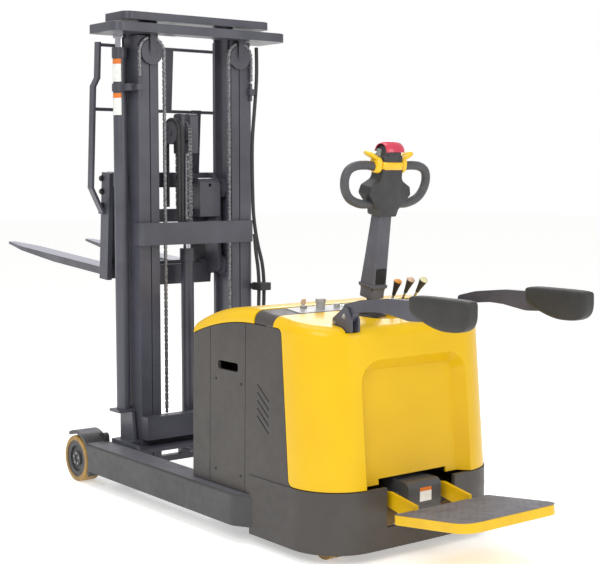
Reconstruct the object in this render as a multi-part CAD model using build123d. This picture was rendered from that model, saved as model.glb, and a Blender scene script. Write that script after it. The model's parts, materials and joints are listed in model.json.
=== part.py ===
from build123d import *
import os
from math import atan2, degrees, hypot, radians, tan

# Electric reach truck: a stand-on drive unit with a tiller, two fixed support legs,
# and a three-stage mast that slides forward and back between the legs.
# Millimetres. +X points to the fork tips, +Y to the truck's left, +Z up.
# The model is laid out with x = 0 at the load wheels' axle and moved at the end, so
# that the origin is under the middle of the whole truck, on the floor.

clear = 5.0                     # least gap between pieces that move past each other
seam = 3.0                      # open joint between two body panels

# Legs and load wheels
load_wheel_d = 210.0
load_wheel_w = 80.0
legs_half_width = 490.0
leg_w = 110.0
leg_low, leg_top = 65.0, 190.0
leg_back_x = -1340.0
leg_turn_x = -1250.0            # the leg's outer side turns in towards the body here
leg_wall = 22.0
guard_gap = 11.0                # wheel to wheel guard
guard_wall = 14.0
stub_axle_d = 34.0

# Body
body_front_x = -905.0
body_half_w = 440.0
body_rear_x = -1780.0           # rear face at the cover's lower edge
rear_lean = 0.084               # how far the rear face comes forward for each mm up
corner_r = 195.0
rear_bow = 8.0
front_corner_r = 18.0
cover_low_z = 267.0
cover_wall = 8.0
panel_wall = 14.0
crown_peak_x, crown_peak_z = -1311.0, 899.0
crown_front_z = 810.0
crown_mid_x, crown_mid_z = -1050.0, 866.0
crown_back_z = 850.0
crown_back_x = -1735.0
crown_edge_r = 42.0
skirt_low_z = 40.0
skirt_out = 4.0                # the skirt stands this far outside the panels
door_front_x, door_back_x = -1038.0, -1276.0
band_front_x, band_back_x = -1331.0, -1450.0
floor_z, floor_t = 172.0, 12.0
handle_x0, handle_x1 = -1227.0, -1092.0
handle_z0, handle_z1 = 648.0, 682.0
louvre_x, louvre_top_z = -1391.0, 620.0
louvre_run, louvre_drop = 74.0, 58.0
louvre_step, louvre_w, louvre_count = 30.0, 5.0, 5

# Knee recess, bowl, slots and notch in the rear cover
recess_half_w, recess_top_z = 265.0, 735.0
recess_depth, recess_slope = 45.0, 41.0
recess_mouth_x = 45.0           # the tapered hollow starts this far behind the rear face
recess_mouth = 39.0             # and is this much wider there
slot_half_w = 25.0
bowl_x, bowl_r, bowl_floor_z = -1515.0, 118.0, 850.0
column_hole_r = 36.0
notch_half_w, notch_low_z = 170.0, 120.0

# Battery
battery_x0, battery_x1 = -1235.0, -935.0
battery_half_w = 330.0
battery_h = 560.0

# Mast
mast_back_x = -270.0
outer_depth, middle_depth = 160.0, 155.0
outer_y1, outer_y0 = 300.0, 244.0
middle_y1, middle_y0 = 239.0, 197.0
inner_y1, inner_y0 = 221.0, 188.0
rail_web, rail_flange = 13.0, 16.0
inner_flange = 12.0
outer_z0, outer_z1 = 96.0, 2010.0
middle_z0 = 112.0
inner_z0 = 126.0
low_head_z, low_head_t, low_head_half_w = 2015.0, 40.0, 460.0
top_head_z, top_head_t, top_head_half_w = 2071.0, 35.0, 390.0
strap_z0, strap_z1, strap_t = 1085.0, 1186.0, 6.0
lift_y, lift_x, lift_d = 337.0, -175.0, 62.0
lift_foot_z, lift_top_z = 345.0, 1958.0
lift_rod_d = 40.0
sheave_r, sheave_w = 54.0, 12.0
sheave_y, sheave_z = 237.0, 1938.0
chain_w, chain_t = 12.0, 18.0
free_x, free_d, free_rod_d = -190.0, 60.0, 38.0
free_top_z = 1060.0
free_drop = 420.0               # how far the free-lift rod goes down from here
free_head_z0, free_head_z1 = 1495.0, 1676.0

# Reach carriage under the mast
roller_d = 84.0
roller_y0, roller_y1 = 381.0, 425.0
roller_z = 127.5
roller_x = (-186.0, -322.0)
reach_stroke = 540.0
reach_tube_d, reach_rod_d = 52.0, 30.0
reach_z = 128.0                 # height of the reach cylinder's middle
reach_eye_x0, reach_eye_x1 = -165.0, -135.0
reach_hold = 40.0               # rod left inside the tube when the mast is right forward
tie_z = reach_z + reach_tube_d / 2 + clear + 7      # plates between the rails pass over the tube

# Fork carriage
fork_half_gap = 230.0           # middle of each fork
fork_w, fork_t, fork_len = 100.0, 35.0, 1105.0
fork_tilt = 4.0                 # how far the forks lean back
fork_hinge_x, fork_hinge_z = -52.0, 985.0
heel_x, heel_z = 81.0, 955.0    # where the blade's top meets the shank's front
backrest_half_w, backrest_z = 400.0, 1985.0

# Tiller and drive
steer_x = -1490.0
drive_wheel_d, drive_wheel_w = 250.0, 75.0
tilt_x, tilt_z = -1500.0, 972.0
tiller_lean = 10.0
head_foot = 280.0               # along the neck, from its pin to the foot of the head
grip_d = 34.0

# Hydraulic levers: foot x, tip x, tip z, y
lever_places = [(-1437.0, -1488.0, 984.0, -140.0), (-1481.0, -1556.0, 995.0, -146.0),
                (-1525.0, -1622.0, 999.0, -152.0)]

# Casters
caster_x, caster_y = -1600.0, 318.0
caster_d, caster_trail = 125.0, 38.0
caster_tread, caster_gap = 30.0, 12.0

# Folding platform
step_hinge_x, step_hinge_z = -1740.0, 220.0
step_half_w, step_t = 238.0, 35.0
step_x0, step_x1 = -1886.0, -2255.0
step_rise = 6.8                 # the spring holds the platform up by this angle
box_half_w = 82.0
box_rear_x = -1800.0
box_top_z = 272.0

# Folding side guards
guard_y = 286.0
guard_pivot_x, guard_pivot_z = -1702.0, 896.0
clevis_x0, clevis_x1, clevis_low_z = -1738.0, -1632.0, 840.0
pad_x0, pad_x1 = -2022.0, -2330.0
pad_half_w = 30.0


def block(x0, x1, y0, y1, z0, z1):
    """Box between two planes on each axis."""
    middle = Pos((x0 + x1) / 2, (y0 + y1) / 2, (z0 + z1) / 2)
    return middle * Box(abs(x1 - x0), abs(y1 - y0), abs(z1 - z0))


def bar(diameter, start, end):
    """Round bar from one point to another."""
    run = Vector(*end) - Vector(*start)
    return Plane(origin=start, z_dir=run) * Pos(0, 0, run.length / 2) * Cylinder(diameter / 2, run.length)


def both(piece):
    """The piece and its mirror image on the other side of the truck."""
    return Part() + piece + mirror(piece, about=Plane.XZ)


def corners(points, radii):
    """Flat face through the points, each corner rounded by its own radius."""
    face = make_face(Polyline(*points, close=True))
    for point, radius in zip(points, radii):
        if radius:
            face = fillet(face.vertices().sort_by_distance((*point, 0))[0], radius)
    return face


def across(face, y0, y1):
    """Face drawn in X and Z, carried across the truck from y0 to y1."""
    plane = Plane(origin=(0, y1, 0), x_dir=(1, 0, 0), z_dir=(0, -1, 0))
    return extrude(plane * face, y1 - y0)


def upright(face, z0, z1):
    """Face drawn in X and Y, carried up from z0 to z1."""
    return extrude(Pos(0, 0, z0) * face, z1 - z0)


def turned(piece, x, z, angle):
    """Piece turned about an axis along Y at (x, z); positive lifts what is behind it."""
    return Pos(x, 0, z) * Rot(0, angle, 0) * Pos(-x, 0, -z) * piece


# ---------------------------------------------------------------- legs and wheels

leg_y0 = legs_half_width - leg_w
axle_z = load_wheel_d / 2
arch_r = load_wheel_d / 2 + guard_gap
channel_half_h = roller_d / 2 + 1.5
channel_front_x = roller_x[0] + roller_d / 2 + 8


def leg():
    plan = corners(
        [(0, leg_y0), (leg_back_x, leg_y0), (leg_back_x, leg_y0 + 62),
         (-1306, leg_y0 + 79), (leg_turn_x, legs_half_width), (0, legs_half_width)],
        [0, 0, 0, 20, 60, 0])
    beam = upright(plan, leg_low, leg_top)
    edge = beam.edges().filter_by(lambda e: e.center().Z > leg_top - 1 and e.center().Y > leg_y0 + 60)
    beam = fillet(edge, 10)
    beam -= bar(2 * arch_r, (0, leg_y0 - 1, axle_z), (0, legs_half_width + 1, axle_z))
    beam -= block(channel_front_x, leg_back_x - 1, leg_y0 - 1, roller_y1 + 3,
                  roller_z - channel_half_h, roller_z + channel_half_h)
    return beam


def wheel_guard():
    """Rolled plate over the load wheel, and the cheek that holds the stub axle."""
    ring = Circle(arch_r + guard_wall) - Circle(arch_r)
    wedge = make_face(Polyline((0, 0), (190, 330), (-400, 330), (-400, -230), (-175, -100), close=True))
    cover = across(Pos(0, axle_z) * (ring & wedge), leg_y0, legs_half_width)
    cover -= leg()
    cheek = across(corners([(-arch_r - 2, 28), (58, 28), (58, 186), (-arch_r - 2, 235)],
                           [10, 50, 60, 20]), leg_y0, leg_y0 + leg_wall)
    cheek -= leg() + cover
    axle = bar(stub_axle_d, (0, leg_y0 + leg_wall, axle_z), (0, legs_half_width - 8, axle_z))
    return cover + cheek + axle


def guarded_leg():
    return leg() + wheel_guard()


def load_wheel():
    y0, y1 = legs_half_width - load_wheel_w, legs_half_width
    outer, rim = load_wheel_d / 2, load_wheel_d / 2 - 22
    tyre = bar(2 * outer, (0, y0, axle_z), (0, y1, axle_z))
    tyre = fillet(tyre.edges().filter_by(GeomType.CIRCLE), 7)
    tyre -= bar(2 * rim, (0, y0 - 1, axle_z), (0, y1 + 1, axle_z))
    hub = bar(2 * rim, (0, y0 + 4, axle_z), (0, y1 - 4, axle_z))
    hub -= bar(118, (0, y1 - 14, axle_z), (0, y1, axle_z)) - bar(64, (0, y1 - 14, axle_z), (0, y1, axle_z))
    hub -= bar(118, (0, y0, axle_z), (0, y0 + 14, axle_z)) - bar(64, (0, y0, axle_z), (0, y0 + 14, axle_z))
    hub -= bar(stub_axle_d + 0.1, (0, y0, axle_z), (0, y1, axle_z))
    return tyre, hub


# ---------------------------------------------------------------- body

def plan_outline(z, inset):
    """The body's outline from above at one height, with round rear corners."""
    rear = body_rear_x + rear_lean * (z - cover_low_z) + inset
    half = body_half_w + 6 - 0.011 * (z - cover_low_z) - inset
    front = body_front_x - inset
    edges = [Line((rear + rear_bow, -half), (front, -half)), Line((front, -half), (front, half)),
             Line((front, half), (rear + rear_bow, half)),
             ThreePointArc((rear + rear_bow, half), (rear, 0), (rear + rear_bow, -half))]
    face = make_face(Curve() + edges)
    ends = face.vertices().sort_by(Axis.X)
    return fillet(ends[:2], corner_r - inset)


def body_form(inset):
    """The whole body as one solid, inset all round; walls are cut from two of these."""
    low, high = 20.0, 940.0
    plan = loft([Pos(0, 0, low) * plan_outline(low, inset), Pos(0, 0, high) * plan_outline(high, inset)],
                ruled=True)
    slope = (crown_back_z - crown_peak_z) / (crown_back_x - crown_peak_x)
    tail_x = -1900.0
    tail_z = crown_peak_z + slope * (tail_x - crown_peak_x)
    edges = [Line((body_front_x - inset, low - 1), (body_front_x - inset, crown_front_z - inset)),
             ThreePointArc((body_front_x - inset, crown_front_z - inset),
                           (crown_mid_x, crown_mid_z - inset), (crown_peak_x, crown_peak_z - inset)),
             Line((crown_peak_x, crown_peak_z - inset), (tail_x, tail_z - inset)),
             Line((tail_x, tail_z - inset), (tail_x, low - 1)),
             Line((tail_x, low - 1), (body_front_x - inset, low - 1))]
    side = across(make_face(Curve() + edges), -600, 600)
    solid = plan & side
    top = [e for e in solid.edges() if e.center().Z > 700 and e.center().X < body_front_x - inset - 2
           and (abs(e.center().Y) > 150 or e.center().X < -1600)]
    solid = fillet(top, crown_edge_r - inset)
    front = [e for e in solid.edges() if e.center().X > body_front_x - inset - 1 and e.bounding_box().size.Z > 500]
    return fillet(front, max(front_corner_r - inset, 2))


def dark_side(gap):
    """Side view of the dark panels; the gap widens it so that the yellow pieces stop short."""
    front = body_front_x + 40
    top = ThreePointArc((body_front_x - 8, 768 + gap), (-1140, 829 + gap), (band_front_x, 843 + gap))
    low_x = -1549 - gap
    edges = [Line((front, -60), (front, 768 + gap)),
             Line((front, 768 + gap), (body_front_x - 8, 768 + gap)), top,
             Line((band_front_x, 843 + gap), (-1496 - gap, 839 + gap)),
             Line((-1496 - gap, 839 + gap), (low_x, cover_low_z + gap)),
             Line((low_x, cover_low_z + gap), (-1900, cover_low_z + gap)),
             Line((-1900, cover_low_z + gap), (-1900, -60)), Line((-1900, -60), (front, -60))]
    face = make_face(Curve() + edges)
    for point in ((-1496 - gap, 839 + gap), (low_x, cover_low_z + gap)):
        face = fillet(face.vertices().sort_by_distance((*point, 0))[0], 26)
    return face


def slice_x(x0, x1):
    return block(x0, x1, -600, 600, -60, 1000)


def knee_recess(grow):
    """Tapered hollow in the leaning rear face, for the operator's knees."""
    wide = recess_half_w + grow + recess_mouth
    high = recess_top_z + grow + recess_mouth - cover_low_z
    face = corners([(-wide, -200), (wide, -200), (wide, high), (-wide, high)], [0, 0, 130, 130])
    start = Plane(origin=(-recess_mouth_x + grow, 0, 0), x_dir=(0, 1, 0), z_dir=(1, 0, 0))
    hollow = extrude(start * face, recess_mouth_x + recess_depth, taper=recess_slope)
    return Pos(body_rear_x, 0, cover_low_z) * Rot(0, degrees(atan2(rear_lean, 1)), 0) * hollow


def guard_slots(grow):
    """Slots in the cover's top that the side guards' clevises stand up through."""
    slot = block(clevis_x0 - 4 - grow, clevis_x1 + 4 + grow, guard_y - slot_half_w - grow,
                 guard_y + slot_half_w + grow, clevis_low_z - 4 - grow, 1000)
    return both(slot)


def bowl(grow):
    """Round dish in the cover's top, around the foot of the tiller."""
    return Pos(bowl_x, 0, 0) * (Pos(0, 0, bowl_floor_z - grow + 100) * Cylinder(bowl_r + grow, 200))


def step_notch(grow):
    """Opening at the bottom of the cover and the skirt, around the platform's hinge."""
    return block(-1640, -1900, -notch_half_w - grow, notch_half_w + grow, notch_low_z, box_top_z + clear)


def rear_cover():
    """Yellow cover over the drive: a moulded shell with the dish round the tiller's foot."""
    outer = body_form(0) - knee_recess(0)
    inner = body_form(cover_wall) - knee_recess(cover_wall)
    shell = (outer - inner) & block(band_back_x, -1900, -600, 600, cover_low_z + seam, 1000)
    shell -= across(dark_side(seam), -600, 600)
    shell -= block(-1640, -1900, -notch_half_w, notch_half_w, cover_low_z, cover_low_z + 24)
    shell -= guard_slots(0) + bowl(cover_wall / 2)
    dish = (bowl(cover_wall) - bowl(0)) & body_form(0)
    return shell + dish - bar(2 * column_hole_r, (steer_x, 0, 700), (steer_x, 0, 1000))


def console_band():
    """Dark band across the body, between the hood and the rear cover."""
    outer, inner = body_form(3), body_form(cover_wall + 3)
    shell = (outer - inner) & slice_x(band_front_x - seam / 2, band_back_x + seam / 2)
    return shell - across(dark_side(seam), -600, 600) - bowl(cover_wall + seam)


def battery_hood():
    outer, inner = body_form(0), body_form(cover_wall)
    shell = (outer - inner) & slice_x(body_front_x + 2, band_front_x + seam / 2)
    return shell - across(dark_side(seam), -600, 600)


def side_panel(x0, x1):
    """One dark panel on the left side, between two upright joints."""
    outer, inner = body_form(0), body_form(panel_wall)
    wall = (outer - inner) & across(dark_side(0), 380, 600)
    return wall & block(x0, x1, 380, 600, leg_top + seam, 1000)


def grip_slot():
    """Hand slot through the left door panel."""
    face = corners([(handle_x0, handle_z0), (handle_x1, handle_z0), (handle_x1, handle_z1),
                    (handle_x0, handle_z1)],
                   [11, 11, 11, 11])
    return across(face, 380, 600)


def louvres():
    """Slanting air slots through the left side strip, one above the other."""
    group = Part()
    slant = degrees(atan2(louvre_drop, louvre_run))
    for n in range(louvre_count):
        middle_z = louvre_top_z - louvre_drop / 2 - n * louvre_step
        slot = Plane.XZ * Pos(louvre_x, middle_z) * Rot(0, 0,
                                                        slant) * SlotOverall(hypot(louvre_run, louvre_drop),
                                                                             louvre_w)
        group += extrude(Pos(0, 600, 0) * slot, 220)
    return group


def side_panels():
    """Front panel and screwed door panel, on both sides."""
    front = side_panel(body_front_x, door_front_x + seam / 2)
    door = side_panel(door_front_x - seam / 2, door_back_x + seam / 2)
    return both(front + door - grip_slot())


def rear_skirt():
    """Dark skirt round the rear, one piece with the louvred strips at its sides."""
    strip = side_panel(door_back_x - seam / 2, -1900) - louvres()
    low = upright(plan_outline(cover_low_z, -skirt_out), skirt_low_z, cover_low_z)
    low -= upright(plan_outline(cover_low_z, panel_wall - 2), skirt_low_z - 1, cover_low_z + 1)
    low -= slice_x(leg_back_x + 32, 0)
    low -= both(block(leg_back_x, leg_turn_x, leg_y0 - 2, 449, leg_low - 30, leg_top + 2))
    low -= both(leg())
    ring = low + both(strip)
    return ring - step_notch(0)


def front_bulkhead():
    """Steel wall behind the mast, from the floor plate up to the hood."""
    form = body_form(0) & slice_x(body_front_x - 2, body_front_x - 12)
    form &= block(-2000, 0, -380 + seam, 380 - seam, leg_top + seam, 735)
    low = block(body_front_x - 12, body_front_x - 2, -leg_y0 + clear, leg_y0 - clear, floor_z + floor_t,
                400)
    return form + low


def base_frame():
    """Floor plate between and behind the legs, with the holes for wheel and casters."""
    inside = plan_outline(cover_low_z, panel_wall + 6)
    plate = upright(inside, floor_z, floor_z + floor_t)
    plate -= both(block(leg_back_x - clear, 0, leg_y0 - clear, 600, 0, 400))
    plate -= slice_x(body_front_x - 2, 0)
    plate -= bar(300, (steer_x, 0, 0), (steer_x, 0, 400))
    plate -= block(-1690, -1900, -notch_half_w - 6, notch_half_w + 6, 0, 400)
    cross = block(leg_back_x + 40, leg_back_x, -leg_y0, leg_y0, 90, floor_z)
    cross -= bar(2 * 62, (leg_back_x - 1, 0, 128), (leg_back_x + 41, 0, 128))
    return plate + cross


def battery():
    return block(battery_x0, battery_x1, -battery_half_w, battery_half_w, floor_z + floor_t,
                 floor_z + floor_t + battery_h)


def step_box():
    """Grey housing at the bottom of the rear, with the shaft the platform turns on."""
    side = corners([(-1655, floor_z + floor_t), (box_rear_x, floor_z + floor_t), (box_rear_x, box_top_z),
                    (-1655, box_top_z)],
                   [0, 4, 26, 0])
    box = across(side, -box_half_w, box_half_w)
    shaft = bar(24, (step_hinge_x, -158, step_hinge_z), (step_hinge_x, 158, step_hinge_z))
    return box + shaft


def guard_brackets():
    """Clevis inside each slot, and the pin that a side guard turns on."""
    x, z, y = guard_pivot_x, guard_pivot_z, guard_y
    ear = across(corners([(clevis_x1, clevis_low_z), (clevis_x0, clevis_low_z), (clevis_x0, z - 12),
                          (x - 16, z + 32),
                          (x + 6, z + 32), (clevis_x1, z - 12)], [0, 4, 10, 8, 8, 12]), y + 13, y + 21)
    ears = ear + Pos(0, -34, 0) * ear
    base = block(x - 8, clevis_x1, y - 21, y + 21, clevis_low_z, clevis_low_z + 8)
    pin = bar(18, (x, y - 21, z), (x, y + 21, z))
    return both(ears + base + pin)


def control_levers():
    """Three hydraulic levers, each on its rubber boot."""
    group = Part()
    for foot_x, tip_x, tip_z, y in lever_places:
        boot = Pos(foot_x, y, 868) * Cone(22, 9, 42, align=(Align.CENTER, Align.CENTER, Align.MIN))
        stem = bar(9, (foot_x, y, 890), (tip_x, y, tip_z - 12))
        knob = Pos(tip_x, y, tip_z) * Sphere(14)
        group += boot + stem + knob
    return group - body_form(0)


def console_panel():
    """Pale strip on the dark band, with the emergency stop and the key switch."""
    form = body_form(0) & block(band_front_x - 12, band_back_x + 14, -300, 300, 860, 960)
    form -= bowl(cover_wall + seam)
    stop = bar(34, (-1392, 170, 880), (-1392, 170, 912)) + bar(40, (-1392, 170, 912), (-1392, 170, 928))
    key = bar(24, (-1392, 90, 880), (-1392, 90, 904))
    return (form + stop + key) - body_form(3)


# ---------------------------------------------------------------- mast

def rail(depth, y0, y1, web, flange, z0, z1, x0=mast_back_x):
    """Channel rail on the left side, open towards the middle of the truck."""
    solid = block(x0, x0 + depth, y0, y1, z0, z1)
    return solid - block(x0 + flange, x0 + depth - flange, y0 - 1, y1 - web, z0 - 1, z1 + 1)


free_foot_z = tie_z + 18
inner_x0 = mast_back_x + rail_flange + clear
inner_x1 = mast_back_x + middle_depth - rail_flange - clear


def outer_rails():
    return both(rail(outer_depth, outer_y0, outer_y1, rail_web, rail_flange, outer_z0, outer_z1))


def middle_rails():
    """The middle mast's two rails and the plate that ties their feet together."""
    pair = both(rail(middle_depth, middle_y0, middle_y1, rail_web, rail_flange, middle_z0, low_head_z))
    return pair + block(mast_back_x + 1, mast_back_x + 13, -middle_y0, middle_y0, tie_z, tie_z + 90)


def inner_rails():
    """The inner mast's rails, their cross plate, and the foot of the free-lift cylinder."""
    pair = both(rail(inner_x1 - inner_x0, inner_y0, inner_y1, inner_flange, inner_flange, inner_z0,
                     top_head_z, inner_x0))
    pair += block(inner_x0, inner_x0 + inner_flange, -inner_y0, inner_y0, tie_z + 2, tie_z + 110)
    return pair + block(inner_x0 + inner_flange, free_x + 25, -56, 56, tie_z + 2, free_foot_z)


def head_plate(back_x, front_x, half_w, z, t, radius):
    plan = corners([(back_x, -half_w), (back_x, half_w), (front_x, half_w), (front_x, -half_w)],
                   [radius, radius, 12, 12])
    return fillet(upright(plan, z, z + t).edges().group_by(Axis.Z)[-1], 4)


def lower_head():
    """Wide plate on the middle mast that the two lift rods push up."""
    plate = head_plate(-352, -120, low_head_half_w, low_head_z, low_head_t, 46)
    hole = block(mast_back_x + rail_flange + 1, 0, -inner_y1 - clear, inner_y1 + clear, 0, 3000)
    hole += block(mast_back_x + 2, 0, -100, 100, 0, 3000)
    return plate - hole


def upper_head():
    """Plate that ties the inner rails together at the top of the mast."""
    plate = head_plate(-318, -136, top_head_half_w, top_head_z, top_head_t, 40)
    return plate


def chain_sheaves():
    x1 = mast_back_x - clear
    disc = bar(2 * sheave_r, (x1 - sheave_w, sheave_y, sheave_z), (x1, sheave_y, sheave_z))
    boss = bar(30, (x1 - sheave_w - 4, sheave_y, sheave_z), (mast_back_x, sheave_y, sheave_z))
    arm = block(x1 - sheave_w - 10, x1 - sheave_w - 4, sheave_y - 14, sheave_y + 14, sheave_z, low_head_z)
    return both(disc + boss + arm)


def lift_chains():
    """Both chains: down the inside to the inner mast, and outside to the anchor rods."""
    x1 = mast_back_x - clear
    x0 = x1 - chain_w
    yi, yo = sheave_y - sheave_r, sheave_y + sheave_r
    inner = block(x0, x1, yi - chain_t, yi, 330, sheave_z)
    outer = block(x0, x1, yo, yo + chain_t, 1828, sheave_z)
    over = bar(2 * (sheave_r + chain_t), (x0, sheave_y, sheave_z), (x1, sheave_y, sheave_z))
    over -= bar(2 * sheave_r, (x0, sheave_y, sheave_z), (x1, sheave_y, sheave_z))
    over &= block(-400, 0, 0, 400, sheave_z, 3000)
    return both(inner + outer + over)


def cylinder_clamp():
    """Clamp round the top of the left lift cylinder, with the chain's anchor rod."""
    y = sheave_y + sheave_r + chain_t / 2
    x = mast_back_x - clear - chain_w / 2
    rod = bar(12, (x, y, 1740), (x, y, 1822))
    lug = block(x - 10, mast_back_x + 20, outer_y1, lift_y - 20, 1770, 1796)
    lug += block(x - 10, x + 10, y - 12, lift_y - 20, 1770, 1796)
    ring = bar(lift_d + 10, (lift_x, lift_y, 1766), (lift_x, lift_y, 1800))
    ring -= bar(lift_d, (lift_x, lift_y, 1700), (lift_x, lift_y, 1900))
    ring += block(mast_back_x + 10, lift_x - 20, outer_y1, lift_y + 6, 1768, 1798) \
        - bar(lift_d, (lift_x, lift_y, 1700), (lift_x, lift_y, 1900))
    return rod + lug + ring


def mid_strap():
    """Bent strap round the back of the outer mast."""
    back = mast_back_x - 2 * clear - chain_w - 2 - strap_t
    out = outer_y1 + strap_t
    plan = corners([(back, -out), (back, out), (-228, out), (-228, -out)], [26, 26, 0, 0])
    hole = corners([(back + strap_t, -outer_y1), (back + strap_t, outer_y1), (-200, outer_y1),
                    (-200, -outer_y1)],
                   [20, 20, 0, 0])
    return upright(plan, strap_z0, strap_z1) - upright(hole, strap_z0 - 1, strap_z1 + 1)


def lift_cylinders():
    tube = bar(lift_d, (lift_x, lift_y, lift_foot_z), (lift_x, lift_y, lift_top_z))
    tube += bar(lift_d + 8, (lift_x, lift_y, lift_top_z - 46), (lift_x, lift_y, lift_top_z))
    tube -= bar(lift_rod_d + 1, (lift_x, lift_y, lift_foot_z + 20), (lift_x, lift_y, lift_top_z + 1))
    return both(tube + cylinder_clamp())


def lift_rods():
    rod = bar(lift_rod_d, (lift_x, lift_y, lift_foot_z + 60), (lift_x, lift_y, low_head_z - 14))
    cap = bar(58, (lift_x, lift_y, low_head_z - 14), (lift_x, lift_y, low_head_z))
    return both(rod + cap)


def mast_base():
    """Bottom of the outer mast: cheeks on the reach rollers, cross beams, cylinder seats."""
    cheek = across(corners([(-130, 82), (-362, 82), (-362, 186), (-340, 206), (-130, 206)],
                           [0, 0, 12, 0, 0]),
                   leg_y0 - clear - 16, leg_y0 - clear)
    seat = across(corners([(-128, 206), (-250, 206), (-232, lift_foot_z - 12), (-128, lift_foot_z - 12)],
                          [0, 0, 0, 0]), 314, 328)
    web = block(-262, -128, outer_y1, leg_y0 - clear - 16, 190, 206)
    web += block(-262, -128, outer_y1, leg_y0 - clear - 16, 96, 112)
    collar = block(lift_x - 44, lift_x + 44, outer_y1, leg_y0 + 6, lift_foot_z - 12, lift_foot_z)
    lower = both(cheek + web + seat + collar)
    beam = block(mast_back_x - 52, mast_back_x - 1, -outer_y1, outer_y1, 215, 318)
    beam -= block(mast_back_x - 44, mast_back_x - 1, -outer_y1 + 8, outer_y1 - 8, 223, 310)
    shelf = block(mast_back_x - 92, mast_back_x - 1, -leg_y0 + clear + 16, leg_y0 - clear - 16, 170, 186)
    under = block(reach_eye_x0, reach_eye_x1, -330, 330, 68, outer_z0)
    eye = block(reach_eye_x0, reach_eye_x1, -24, 24, outer_z0, tie_z - clear)
    rod = bar(reach_rod_d, (reach_gland_x - reach_hold, 0, reach_z), (reach_eye_x0, 0, reach_z))
    return lower + beam + shelf + under + eye + rod + reach_rollers()


reach_gland_x = reach_eye_x0 - reach_stroke - clear - 2


def reach_rollers():
    group = Part()
    for x in roller_x:
        group += bar(roller_d, (x, roller_y0, roller_z), (x, roller_y1, roller_z))
        group += bar(30, (x, leg_y0 - clear, roller_z), (x, roller_y0 + 4, roller_z))
    return both(group)


def reach_cylinder():
    """Cylinder tube lying between the legs, under the mast's path; its rod is on the mast's base."""
    back_x = leg_back_x + 30
    tube = bar(reach_tube_d, (back_x, 0, reach_z), (reach_gland_x, 0, reach_z))
    return tube - bar(reach_rod_d + 1, (back_x + 12, 0, reach_z), (reach_gland_x + 1, 0, reach_z))


def free_cylinder():
    tube = bar(free_d, (free_x, 0, free_foot_z), (free_x, 0, free_top_z))
    tube += bar(free_d + 10, (free_x, 0, free_top_z - 60), (free_x, 0, free_top_z))
    return tube - bar(free_rod_d + 1, (free_x, 0, free_foot_z + 14), (free_x, 0, free_top_z + 1))


def free_rod():
    return bar(free_rod_d, (free_x, 0, free_foot_z + 14 + free_drop + clear), (free_x, 0, free_head_z0))


def free_head():
    """Block on the free-lift rod that carries the chain and hose sheaves."""
    side = corners([(free_x - 34, free_head_z0), (free_x + 34, free_head_z0), (free_x + 34, free_head_z1),
                    (free_x - 34, free_head_z1)], [6, 6, 16, 16])
    solid = across(side, -42, 48)
    slot = block(free_x - 60, free_x + 60, 1, 30, 1545, 1700)
    axle = bar(24, (free_x, -42, 1589), (free_x, 92, 1589))
    chain_wheel = bar(94, (free_x, 3, 1589), (free_x, 28, 1589)) - bar(24, (free_x, 0, 1589),
                                                                       (free_x, 40, 1589))
    hose_wheel = bar(106, (free_x, 54, 1589), (free_x, 88, 1589)) - bar(24, (free_x, 50, 1589),
                                                                        (free_x, 90, 1589))
    return solid - slot + axle + chain_wheel + hose_wheel


def free_chain():
    """Leaf chain over the free-lift head: down the back, and down the front to the carriage."""
    back_x, front_x = free_x - 47, free_x + 47
    strand = block(back_x - 12, back_x, 4, 27, 1100, 1589)
    strand += block(front_x, front_x + 12, 4, 27, 1240, 1589)
    over = bar(94 + 24, (free_x, 4, 1589), (free_x, 27, 1589)) - bar(94, (free_x, 4, 1589),
                                                                     (free_x, 27, 1589))
    return strand + (over & block(-400, 0, 0, 60, 1589, 1700))


def hose(points, diameter):
    """Hose along straight runs joined by arcs as large as the runs allow."""
    radii = []
    for a, b, c in zip(points, points[1:], points[2:]):
        first, second = Vector(*b) - Vector(*a), Vector(*c) - Vector(*b)
        turn = radians(first.get_angle(second))
        radii.append(0.45 * min(first.length, second.length) / tan(turn / 2))
    path = FilletPolyline(*points, radius=radii)
    return sweep(Plane(origin=path @ 0, z_dir=path % 0) * Circle(diameter / 2), path=path)


def mast_hoses():
    """Two hoses down the mast's right side, and the block that holds them half way down."""
    tall = [(-275, -336, 1990), (-277, -337, 1860), (-270, -330, 1720), (-262, -319, 1560),
            (-264, -318, 1380),
            (-270, -320, 1200), (-286, -330, 1080), (-306, -346, 980), (-312, -350, 900), (-312, -350, 820),
            (-306, -346, 660), (-296, -340, 500), (-290, -334, 360), (-292, -334, 188)]
    short = [(-284, -316, 1120), (-290, -318, 1040), (-304, -322, 960), (-308, -324, 890),
             (-306, -324, 800),
             (-300, -322, 640), (-290, -318, 480), (-284, -314, 340), (-282, -312, 188)]
    holder = block(-346, -278, -366, -306, 856, 892)
    arm = block(-300, -256, -306, -outer_y1, 860, 888)
    return hose(tall, 17) + hose(short, 17) + holder + arm


def free_lift_hoses():
    """Two hoses over the free-lift head's outer wheel, down its back and front."""
    group = Part()
    for y in (63, 80):
        r = 53 + 8
        group += bar(15, (free_x - r, y, 1130), (free_x - r, y, 1589))
        group += bar(15, (free_x + r, y, 1250), (free_x + r, y, 1589))
        ring = Pos(free_x, y, 1589) * Rot(90, 0, 0) * Torus(r, 7.5)
        group += ring & block(-500, 200, 0, 200, 1589, 1700)
    return group


# ---------------------------------------------------------------- fork carriage

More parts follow.
